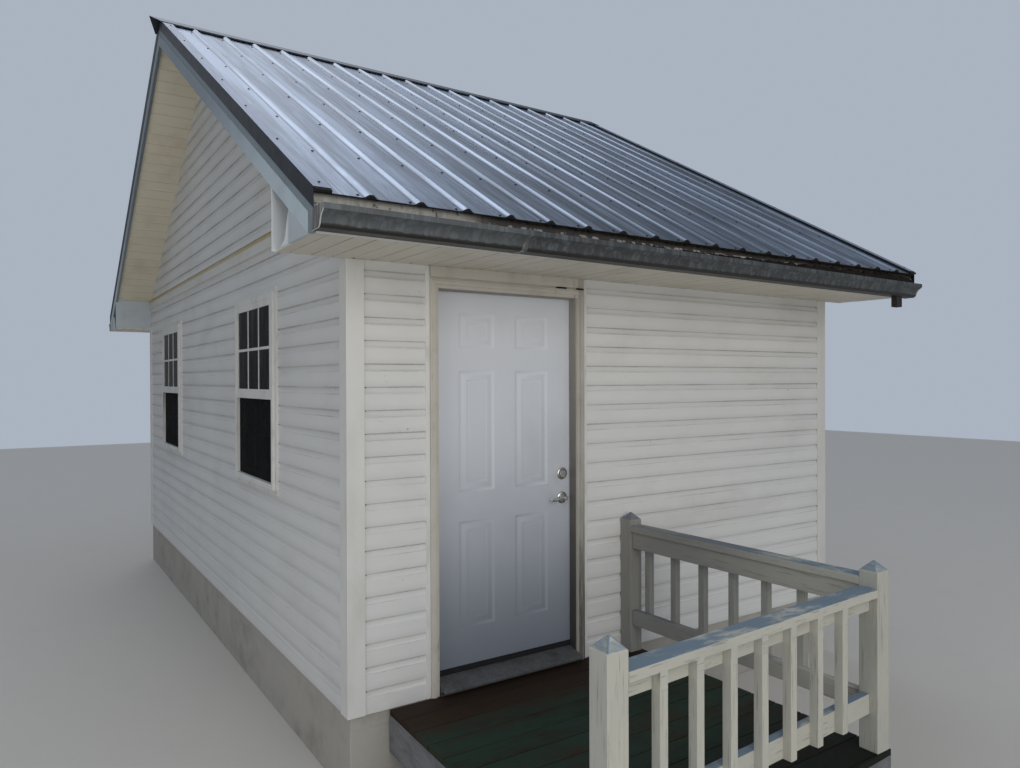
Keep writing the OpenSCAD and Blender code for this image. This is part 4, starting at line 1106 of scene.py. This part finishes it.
@dataclass
class Slope:
    """One slope of the roof: screws, dark closures with painted shadow in the rake trims' ends, the strip along its
    edge and the dirt and painted shadow under it.
    """

    heads: HeadGrid
    side: Side
    width: float = ROOF_RIGHT - ROOF_LEFT
    foot_z: float = 2.76
    first_rib: float = 0.239
    ribs: int = 18
    rib_h: float = 0.016
    rib_foot: float = 0.054
    rib_top: float = 0.015
    flange: float = 0.075
    screw_left: float = 0.047
    drip: Tuple[Point2, ...] = ((-0.5503, 2.788), (-0.5528, 2.788), (-0.5528, 2.748), (-0.5575, 2.738),
                                (-0.5568, 2.7355), (-0.5503, 2.744))

    def place(self, lift: float = 0.0, x: float = 0.0, y: float = 0.0) -> Matrix:
        """Places things on the slope: x from the left edge, y up from the deck's edge, z off the sheet.

        Args:
            lift: distance off the sheets' underside.
            x: the zero's distance from the left edge.
            y: its distance up the slope.

        Returns:
            The matrix.
        """
        run = Vector((0, math.cos(PITCH), math.sin(PITCH)))
        normal = X_AXIS.cross(run)
        low = Vector((ROOF_LEFT, -EAVE_OUT, self.foot_z))
        sheets = frame["nodes"]["roof_panels"].data.vertices
        sheet = min(normal.dot(v.co - low) for v in sheets if v.co.y < RIDGE_Y)
        near = plane(low + normal * (sheet + lift), X_AXIS, run)
        return self.side.mirror() @ near @ Matrix.Translation((x, y, 0))

    def closures_and_shadows(self) -> None:
        """Plugs in the open ends of ribs, black plugs in the rake trims' open ends that are painted shadow, and the
        strip under the sheets' edge, foam closure and painted shadow together.
        """
        mould, place = Mould(), self.place()
        foot, top, high = self.rib_foot / 2, self.rib_top / 2, self.rib_h - 0.0008
        middles = [self.first_rib + i * RIB_PITCH for i in range(self.ribs)]
        plugs = [[(x - foot, 0.0006), (x - top, high), (x + top, high), (x + foot, 0.0006)] for x in middles]
        # Painted shadow: black plugs inside the rake trims' open ends.
        for start in (0.001, self.width - self.flange + 0.004):
            plugs.append(rectangle(start, 0.0028, start + self.flange - 0.005, self.rib_h - 0.001))
        for plug in plugs:
            mould.prism(plug, Axis.Y, -0.026, 0.03, place)
        # A black strip under the sheets' edge: foam closure and painted shadow.
        mould.prism(rectangle(0.004, -0.004, self.width - 0.004, -0.0004), Axis.Y, -0.021, -0.008, place)
        mould.piece("roof_closures_" + self.side.value, CLOSURE_AND_SHADOW)

    def drip_edge(self) -> None:
        """Bent strip over the edge of the roof deck."""
        mould = Mould().prism(self.drip, Axis.X, ROOF_LEFT + 0.002, ROOF_RIGHT - 0.002, self.side.mirror())
        mould.piece("drip_edge_" + self.side.value, DRIP)

    def hanging_dirt_and_shadow(self) -> None:
        """Ragged dark strip under the sheets' edge, from the gutter's seam to the right: dirt and painted shadow."""
        mould, place = Mould(), self.place()
        start, end, steps = 0.70, self.width - 0.02, 330
        rows = []
        for i in range(steps + 1):
            x = start + (end - start) * i / steps
            hang = min(1.0, 0.25 + i / 60) * (0.004 + 0.013 * noise_number(i * 2.3 + 5.0) ** 1.4)
            corners = ((-0.0225, -0.0006), (-0.0215, -hang), (-0.0090, -hang * 0.8), (-0.0080, -0.0006))
            rows.append(mould.ring(place @ Vector((x, y, z)) for y, z in corners))
        mould.skin(rows).piece("roof_edge_dirt_" + self.side.value, LITTER, smooth=10.0)

    def build(self) -> None:
        """Build the slope's pieces."""
        self.closures_and_shadows()
        self.drip_edge()
        self.hanging_dirt_and_shadow()
        side = self.side.value
        place = self.place(0.0022, self.first_rib - self.screw_left, 0.002)
        self.heads.lay("roof_screws_" + side, CLOSURE_AND_SHADOW, place, (self.ribs, 7), (RIB_PITCH, 0.64), 0.0075, 0.0035, 0.005)
        for end, x in (("left", self.flange / 2), ("right", self.width - self.flange / 2)):
            self.heads.lay(f"trim_screws_{end}_{side}", RIDGE_TRIM, self.place(0.0202, x, 0.06), (1, 7), (1.0, 0.63),
                           0.006, 0.003, 0.004)


@dataclass
class Roof:
    """Steel sheets, the edge trims, the boards under them and both slopes."""

    heads: HeadGrid
    cap_tip: float = 4.8814
    cap_drop: float = 0.086
    band_start: float = -0.505
    band_low: float = 2.598
    band_high: float = 2.684
    band_thick: float = 0.0035

    def ridge_cap(self) -> None:
        """Ridge cap with its left end cut aslant, so that only its tip stands out over the gable."""
        mould = Mould().copy_of("ridge_cap", 0.0012)
        for vert in mould.mesh.verts:
            if vert.co.x < ROOF_LEFT - 0.005:
                share = min(1.0, max(0.0, (self.cap_tip - vert.co.z) / self.cap_drop))
                vert.co.x += (ROOF_LEFT - 0.004 - vert.co.x) * share
        mould.piece("ridge_cap_bent", RIDGE_TRIM, replaces=("ridge_cap",))

    def rake_bands(self) -> None:
        """Paler lower strip on the rake boards, cut plumb near the eave."""
        mould = Mould()
        line = []
        for base, step in ((self.band_high, 1), (self.band_low, -1)):
            foot = base + (self.band_start + EAVE_OUT) * math.tan(PITCH)
            peak = base + (RIDGE_Y + EAVE_OUT) * math.tan(PITCH)
            line += [(self.band_start, foot), (RIDGE_Y, peak), (DEPTH - self.band_start, foot)][::step]
        for x in (ROOF_LEFT - self.band_thick, ROOF_RIGHT):
            mould.prism(line, Axis.X, x, x + self.band_thick)
        mould.piece("rake_boards_lower_strip", RAKE_LOW)

    def build(self) -> None:
        """Dress the roof."""
        rework("roof_panels", "rolled", ROOF, 0.003, smooth=50.0)
        self.ridge_cap()
        rework("rake_trims", "bent", RAKE_TRIM, 0.0012)
        rework("rake_boards", "wrapped", RAKE_HIGH, 0.002)
        self.rake_bands()
        rework("eave_fascias", "wrapped", WHITE_VINYL, 0.002)
        for node, end, seed in (("roof_deck", "boards", 3), ("rafters", "sawn", 5), ("ridge_board", "sawn", 6)):
            rework(node, end, RAW_WOOD, seed=seed)
        for side in Side:
            Slope(self.heads, side).build()


@dataclass
class Soffits:
    """Grooved vinyl under the eaves and rakes, and the boxed eave ends."""

    heads: HeadGrid
    thick: float = 0.012
    wall: float = 1.88
    out: float = 0.53
    groove: float = 0.0035
    trim: Tuple[Point2, ...] = ((-0.134, 2.624), (-0.160, 2.632), (-0.196, 2.645), (-0.2084, 2.6696), (-0.253, 2.7690))

    def grooved(self, start: float, end: float) -> List[Point2]:
        """The low side of a soffit, with a narrow groove at each joint and a wider one at each third.

        Args:
            start: its first place.
            end: its last place.

        Returns:
            Places and depths.
        """
        line = [(start, 0.0)]
        at, count = start + FIRST_GROOVE, 0
        while at < end - 0.012:
            half, deep = (0.0045, self.groove) if count % 3 else (0.008, self.groove * 1.6)
            line += [(at - half, 0.0), (at - half * 0.3, deep), (at + half * 0.3, deep), (at + half, 0.0)]
            at += STRIP
            count += 1
        return line + [(end, 0.0)]

    def eaves(self) -> None:
        """Level soffits, grooved from the wall to the fascia."""
        mould = Mould()
        line = [(x, SOFFIT_Z + deep) for x, deep in self.grooved(SOFFIT_LEFT, SOFFIT_RIGHT)]
        line += [(x, SOFFIT_Z + self.thick) for x in (SOFFIT_RIGHT, SOFFIT_LEFT)]
        for start, end in ((-self.out, 0.0), (DEPTH, DEPTH + self.out)):
            mould.prism(line, Axis.Y, start, end)
        mould.piece("eave_soffits_grooved", SOFFIT_EAVE, replaces=("eave_soffits",), smooth=20.0)

    def rakes(self) -> None:
        """Sloping soffits, grooved across."""
        mould = Mould()
        slope = math.tan(PITCH)
        under = SOFFIT_Z + 0.0001 + EAVE_OUT * slope
        rise = [(y, under + y * slope + deep) for y, deep in self.grooved(0.0, RIDGE_Y)]
        line = rise + [(DEPTH - y, z) for y, z in reversed(rise[:-1])]
        over = under + self.thick
        line += [(DEPTH, over), (RIDGE_Y, over + RIDGE_Y * slope), (0.0, over)]
        for x0, x1 in ((SOFFIT_LEFT, -self.wall), (self.wall, SOFFIT_RIGHT)):
            mould.prism(line, Axis.X, x0, x1)
        mould.piece("rake_soffits_grooved", SOFFIT_RAKE, replaces=("rake_soffits",), smooth=20.0)

    def returns(self) -> None:
        """Boxed ends of the eaves with the rolled trim on their back edges."""
        rework("eave_returns", "wrapped", RETURN, 0.0015)
        mould = Mould()
        for x in (SOFFIT_LEFT - 0.012, SOFFIT_RIGHT + 0.012):
            for side in Side:
                path = [side.mirror() @ Vector((x, y, z)) for y, z in self.trim]
                mould.tube(path, [(0.006, 0.005)] * len(path), X_AXIS, 10)
        mould.piece("return_edge_trims", WHITE_VINYL, smooth=60.0)

    def build(self) -> None:
        """Build the soffits and their nails."""
        self.eaves()
        self.rakes()
        self.returns()
        row = plane((SOFFIT_LEFT + 0.05, -0.045, SOFFIT_Z), X_AXIS, -Y_AXIS)
        self.heads.lay("soffit_nails", CLOSURE_AND_SHADOW, row, (42, 1), (STRIP, 0.1), 0.0028, 0.0012, 0.006)


@dataclass
class Gutter:
    """Details of one aged gutter: its rolled lip, end plates, seam and litter."""

    side: Side
    length: float = 4.278
    face: float = -0.550
    width: float = 0.127
    high: float = 0.085
    base: float = 2.628
    fall: float = 0.025
    seam_x: float = -1.300
    seam_width: float = 0.030
    strap: float = 0.0034
    sheet: float = 0.0016
    lip_size: Point2 = (0.006, 0.0055)
    litter_from: float = -1.35
    litter_rows: Tuple[Point2, ...] = ((0.006, 1.0), (0.040, 0.95), (0.080, 0.72), (0.113, 0.42))
    limit: float = 0.1287

    def matrix(self) -> Matrix:
        """The fall to the right, on the gutter's own side."""
        pivot = Vector((ROOF_LEFT, 0, self.base))
        fall = Matrix.Rotation(math.asin(self.fall / self.length), 4, "Y")
        return self.side.mirror() @ Matrix.Translation(pivot) @ fall @ Matrix.Translation(-pivot)

    def section(self, grow: float) -> List[Point2]:
        """The gutter's outer line, across and up, from its back top corner.

        Args:
            grow: how far it is drawn outwards.

        Returns:
            The line.
        """
        bends = ((0.58, 0.0, 0.0, -grow), (0.66, grow, 0.12, -grow), (0.70, grow, 0.34, -grow),
                 (0.78, grow, 0.55, -grow), (0.92, grow, 0.70, -grow), (1.0, grow, 0.74, 0.0), (1.0, grow, 1.0, 0.0))
        steps = [(0.0, self.high), (0.0, -grow)]
        steps += [(across * self.width + wider, up * self.high + lower) for across, wider, up, lower in bends]
        return [(self.face - min(across, self.limit), self.base + up) for across, up in steps]

    def lip(self) -> None:
        """Rolled lip along the front edge."""
        y, z = self.face - self.limit + 0.006, self.base + self.high - 0.003
        path = [self.matrix() @ Vector((ROOF_LEFT + t * self.length, y, z)) for t in (0.0, 0.25, 0.5, 0.75, 1.0)]
        mould = Mould().tube(path, [self.lip_size] * len(path), Y_AXIS, 12)
        mould.piece("gutter_lip_" + self.side.value, GUTTER, smooth=60.0)

    def plates(self) -> None:
        """Pale edges and dark plates at both ends, and the seam's bent strip."""
        left, right = ROOF_LEFT, ROOF_LEFT + self.length
        collar = self.section(self.strap)[1:] + self.section(self.strap - self.sheet)[1:][::-1]
        edge, cap, thin = self.section(self.strap + 0.0006), self.section(0.0), 0.0005
        for name, finish, outline, places in (
                ("gutter_end_edges_", CAP_LINE, edge, ((left + thin, left + 0.005), (right - 0.005, right - thin))),
                ("gutter_ends_", CAP_END, cap, [(x - 2 * thin, x + 2 * thin) for x in (left, right)]),
                ("gutter_seam_", CAP_END, collar, ((self.seam_x, self.seam_x + self.seam_width),))):
            mould = Mould()
            for x0, x1 in places:
                mould.prism(outline, Axis.X, x0, x1, self.matrix())
            mould.piece(name + self.side.value, finish)

    def litter(self) -> None:
        """Ragged ridge of leaf dirt that lies in the trough."""
        mould, matrix = Mould(), self.matrix()
        steps, top = 260, self.base + self.high
        reach = ROOF_LEFT + self.length - 0.02 - self.litter_from
        lines = [(self.face - out, share) for out, share in self.litter_rows]
        rows = []
        for i in range(steps + 1):
            x = self.litter_from + reach * i / steps
            ramp = min(1.0, 0.35 + 0.65 * i / steps) * min(1.0, i / 12, (steps - i) / 6)
            fallen = self.fall * (x - ROOF_LEFT) / self.length
            row = []
            for k, (y, share) in enumerate(lines):
                heap = 0.022 + fallen + 0.052 * noise_number(i * 3.7 + k * 11.3) ** 1.6
                row.append((y + 0.006 * (noise_number(i + y) - 0.5), top - 0.014 + ramp * share * heap))
            row += [(lines[-1][0], top - 0.018), (lines[0][0], top - 0.018)]
            rows.append(mould.ring(matrix @ Vector((x, y, z)) for y, z in row))
        mould.skin(rows).piece("gutter_litter_" + self.side.value, LITTER, smooth=10.0)

    def build(self) -> None:
        """Build the gutter's details."""
        self.lip()
        self.plates()
        self.litter()


@dataclass
class Walls:
    """Siding, corner posts, bands, channels, windows and what stands behind them."""

    heads: HeadGrid
    windows: Tuple[float, float] = (1.588, 4.615)
    window_half: float = 0.4825
    corner: float = 1.8015
    face_x: float = -1.8905
    face_y: float = -0.0105

    def gaps(self) -> None:
        """Black discs as painted shadow in the gaps where the courses' butts meet trim."""
        first, inset = FOOT + COURSE, 0.0785
        rows = [("front_right", (self.corner, self.face_y, first), X_AXIS, 19),
                ("front_left", (-self.corner, self.face_y, first), X_AXIS, 19),
                ("gable_near", (self.face_x, inset, first), -Y_AXIS, 19),
                ("gable_far", (self.face_x, DEPTH - inset, first), -Y_AXIS, 19)]
        for index, middle in enumerate(self.windows):
            for side in (-1, 1):
                place = (self.face_x, middle + side * (self.window_half + 0.004), first + 8 * COURSE)
                rows.append((f"window_{index}_{side + 1}", place, -Y_AXIS, 11))
        for name, place, across, count in rows:
            self.heads.lay("course_gaps_" + name, CLOSURE_AND_SHADOW, plane(place, across, Z_AXIS), (1, count), (1.0, COURSE),
                           0.0045, 0.001, 0.0012)

    def build(self) -> None:
        """Dress the walls."""
        dress(SIDING, "siding_front", "siding_back", "siding_left", "siding_right")
        dress(CONCRETE, "floor_slab")
        rework("foundation", "cast", CONCRETE, 0.006)
        walls = ("front_wall_left", "front_wall_right", "front_wall_header", "back_wall", "left_wall", "right_wall")
        for seed, node in enumerate(walls):
            rework(node, "boards", WALL_BOARD, seed=seed)
        for node, finish in (("corner_posts", POST_VINYL), ("gable_bands", BAND), ("window_channels", CHANNEL),
                             ("door_channels", WHITE_VINYL)):
            rework(node, "moulded", finish, 0.003)
        self.gaps()


@dataclass
class Door:
    """Panelled leaf, lock, lever, frame and threshold."""

    left: float = -1.403
    right: float = -0.489
    front: float = 0.055
    back: float = 0.099
    foot: float = 0.478
    top: float = 2.510
    panel: float = 0.230
    gap: float = 0.132
    rows: Tuple[Point2, ...] = ((0.222, 0.575), (0.952, 0.655), (1.727, 0.188))
    moulding: Tuple[Point2, ...] = ((0.004, 0.0012), (0.009, 0.0048), (0.014, 0.0066), (0.020, 0.0070), (0.026, 0.0064),
                                    (0.034, 0.0036), (0.042, 0.0018), (0.048, 0.0014), (0.058, 0.0014),
                                    (0.060, 0.0036), (0.064, 0.0036), (0.066, 0.0014))
    sweeps: Tuple[Tuple[float, ...], ...] = (
        (0.004, 0.004, -0.007, 0.012, 0.0005), (0.004, 0.020, -0.007, 0.026, 0.0005),
        (0.001, -0.0015, -0.008, 0.004, 0.023))
    head_channel: Tuple[Tuple[float, ...], ...] = ((-1.447, -0.0235, 2.566), (-0.443, -0.001, 2.6196))
    head_gaps: Tuple[Point2, ...] = ((-0.492, -0.447), (-0.637, -0.574))
    lock_x: float = -0.549
    lever_z: float = 1.345
    bolt_z: float = 1.486
    bolt_plate: Tuple[Point2, ...] = ((0.0, 0.0), (0.0355, 0.0), (0.0355, 0.003), (0.034, 0.0055), (0.031, 0.0075),
                                      (0.0275, 0.0085), (0.026, 0.008), (0.0, 0.008))
    bolt_gap: Tuple[Point2, ...] = ((0.0, 0.0075), (0.0262, 0.0075), (0.0262, 0.0086), (0.0, 0.0086))
    bolt: Tuple[Point2, ...] = ((0.0, 0.008), (0.0238, 0.008), (0.0232, 0.0135), (0.0215, 0.0165), (0.018, 0.0175),
                                (0.012, 0.0172), (0.0, 0.0172))
    rose: Tuple[Point2, ...] = ((0.0085, 0.0), (0.0345, 0.0), (0.0345, 0.002), (0.0325, 0.0048), (0.027, 0.0075),
                                (0.020, 0.0088), (0.0085, 0.0088))
    spindle: Tuple[Point2, ...] = ((0.0, -0.060), (0.0055, -0.060), (0.0055, 0.060), (0.0, 0.060))
    hub: Tuple[Point2, ...] = ((0.0, 0.0), (0.0105, 0.0), (0.0115, 0.012), (0.0125, 0.026), (0.0125, 0.036),
                               (0.0105, 0.0405), (0.006, 0.0415), (0.0, 0.0415))

    def panels(self) -> List[Tuple[float, float, float, float]]:
        """Each panel's left, low, right and high edges."""
        middle, half = (self.left + self.right) / 2, self.panel / 2
        centres = [middle + side * (self.gap + self.panel) / 2 for side in (-1, 1)]
        return [(x - half, self.foot + low, x + half, self.foot + low + height)
                for low, height in self.rows for x in centres]

    def leaf(self) -> None:
        """A leaf whose both faces carry raised panels in a soft moulding."""
        mould, panels = Mould(), self.panels()
        xs = sorted({self.left, self.right, *(x for p in panels for x in p[::2])})
        zs = sorted({self.foot, self.top, *(z for p in panels for z in p[1::2])})
        for y, inwards in ((self.front, 1), (self.back, -1)):
            grid = [mould.ring(Vector((x, y, z)) for z in zs) for x in xs]
            for i, (x0, x1) in enumerate(zip(xs, xs[1:])):
                for k, (z0, z1) in enumerate(zip(zs, zs[1:])):
                    ring = [grid[i][k], grid[i + 1][k], grid[i + 1][k + 1], grid[i][k + 1]]
                    for inset, depth in self.moulding if (x0, z0, x1, z1) in panels else ():
                        corners = rectangle(x0 + inset, z0 + inset, x1 - inset, z1 - inset)
                        inner = mould.ring(Vector((x, y + inwards * depth, z)) for x, z in corners)
                        mould.join(ring, inner)
                        ring = inner
                    mould.mesh.faces.new(ring)
        bmesh.ops.bridge_loops(mould.mesh, edges=[e for e in mould.mesh.edges if len(e.link_faces) == 1])
        mould.piece("door_leaf", DOOR, Body.DOOR, ("door_slab",), 50.0)

    def sweep(self) -> None:
        """Dark sweep under the leaf."""
        mould = Mould()
        for inset, y0, z0, y1, z1 in self.sweeps:
            mould.box((self.left + inset, self.front + y0, self.foot + z0),
                      (self.right - inset, self.front + y1, self.foot + z1))
        mould.piece("door_sweep", CLOSURE_AND_SHADOW, Body.DOOR)

    def locks(self) -> None:
        """Stepped deadbolt with its keyway, and domed roses on both faces; the dark ring round the bolt and the black
        keyway are painted shadow.
        """
        steel, dark = Mould(), Mould()
        for y, axis in ((self.front, -Y_AXIS), (self.back, Y_AXIS)):
            for mould, profile, z in ((steel, self.bolt_plate, self.bolt_z), (dark, self.bolt_gap, self.bolt_z),
                                      (steel, self.bolt, self.bolt_z), (steel, self.rose, self.lever_z)):
                mould.lathe(profile, (self.lock_x, y, z), axis)
        # Painted shadow: a black slot for the keyway.
        dark.box((self.lock_x - 0.0012, self.front - 0.0176, self.bolt_z - 0.005),
                 (self.lock_x + 0.0012, self.front - 0.0171, self.bolt_z + 0.005))
        steel.piece("lock_sets", STEEL, Body.DOOR, ("lock_plates",), 40.0)
        dark.piece("lock_gaps", CLOSURE_AND_SHADOW, Body.DOOR)

    def lever(self) -> None:
        """Spindle with a wave-shaped lever on each face."""
        middle, steps = (self.front + self.back) / 2, 14
        mould = Mould().lathe(self.spindle, (self.lock_x, middle, self.lever_z), Y_AXIS, 20)
        for side in (-1, 1):
            mould.lathe(self.hub, (self.lock_x, middle + side * 0.033, self.lever_z), Y_AXIS * side, 28)
            path, sizes = [], []
            for i in range(steps + 1):
                t = i / steps
                drop = 0.0045 * math.sin(2.2 * math.pi * t) - 0.003 * t
                path.append(Vector((self.lock_x + 0.004 - 0.112 * t, middle + side * (0.061 + 0.002 * t),
                                    self.lever_z + drop)))
                end = max(0.15, math.sqrt(max(0.0, 1 - max(0.0, (t - 0.93) / 0.07) ** 2)))
                sizes.append((0.0062 * end, (0.0098 - 0.0028 * t) * end))
            mould.tube(path, sizes, Y_AXIS)
        mould.piece("lever_waves", STEEL, Body.LEVER, ("door_lever",), 50.0)

    def build(self) -> None:
        """Build the door and its surround."""
        self.leaf()
        self.sweep()
        self.locks()
        self.lever()
        dress(STEEL, "door_hinges", "jamb_hinges")
        rework("door_casing", "painted", CASING, 0.0025)
        rework("door_jamb", "painted", JAMB, 0.0015)
        Mould().box(*self.head_channel).piece("head_channel", CASING)
        # Painted shadow: black strips in the gaps above the casing's head.
        gaps = Mould()
        for x0, x1 in self.head_gaps:
            gaps.box((x0, -0.0305, 2.5565), (x1, -0.012, 2.5635))
        gaps.piece("head_gaps", CLOSURE_AND_SHADOW)
        rework("threshold", "worn", SILL, 0.0015)


@dataclass
class Windows:
    """Sashes, panes and screens."""

    rounding: float = 0.0015

    def build(self) -> None:
        """Dress the windows."""
        rework("window_frames", "moulded", WINDOW_VINYL, self.rounding, 1)
        dress(GLASS, "window_glass")
        dress(SCREEN, "window_screens")


@dataclass
class Deck:
    """Stained boards on a painted frame, with its railings."""

    heads: HeadGrid
    first: float = -0.019
    pitch: float = 0.145
    boards: int = 12
    top: float = 0.400
    joists: Tuple[float, ...] = (-1.655, -1.25, -0.84, -0.43, -0.06)
    parts: Tuple[Tuple, ...] = (("deck_frame", RIM, 0.003, ()), ("deck_supports", RIM, 0.003, ()),
                                ("railing_posts", RAIL, 0.004, ()), ("front_railing", RAIL, 0.003, (0.654, 1.018)),
                                ("side_railing", RAIL, 0.003, (0.654, 1.024)))

    def build(self) -> None:
        """Build the deck: boards, then each painted part with its rounding and its rails' heights, then screws."""
        rework("deck_boards", "worn", DECK, 0.004, seed=1)
        for seed, (node, finish, radius, cuts) in enumerate(self.parts, 11):
            rework(node, "painted", finish, radius, seed=seed, cuts=cuts)
        for index, x in enumerate(self.joists):
            for side, inset, rows in (("a", 0.030, self.boards), ("b", 0.110, self.boards - 1)):
                row = plane((x, self.first - inset, self.top - 0.0012), X_AXIS, -Y_AXIS)
                self.heads.lay(f"deck_screws_{index}{side}", CLOSURE_AND_SHADOW, row @ Matrix.Diagonal((1, 1, -1, 1)), (1, rows),
                               (1.0, self.pitch), 0.0042, 0.0018, 0.004)


def main() -> None:
    """Build the scene, piece by piece."""
    logging.basicConfig(level=logging.INFO, format="%(name)s %(message)s")
    Studio().build()
    heads = HeadGrid()
    Roof(heads).build()
    Soffits(heads).build()
    rework("gutters", "bent", GUTTER, 0.0008, 1)
    for side in Side:
        Gutter(side).build()
    Walls(heads).build()
    Door().build()
    Windows().build()
    Deck(heads).build()


if __name__ == "__main__":
    main()
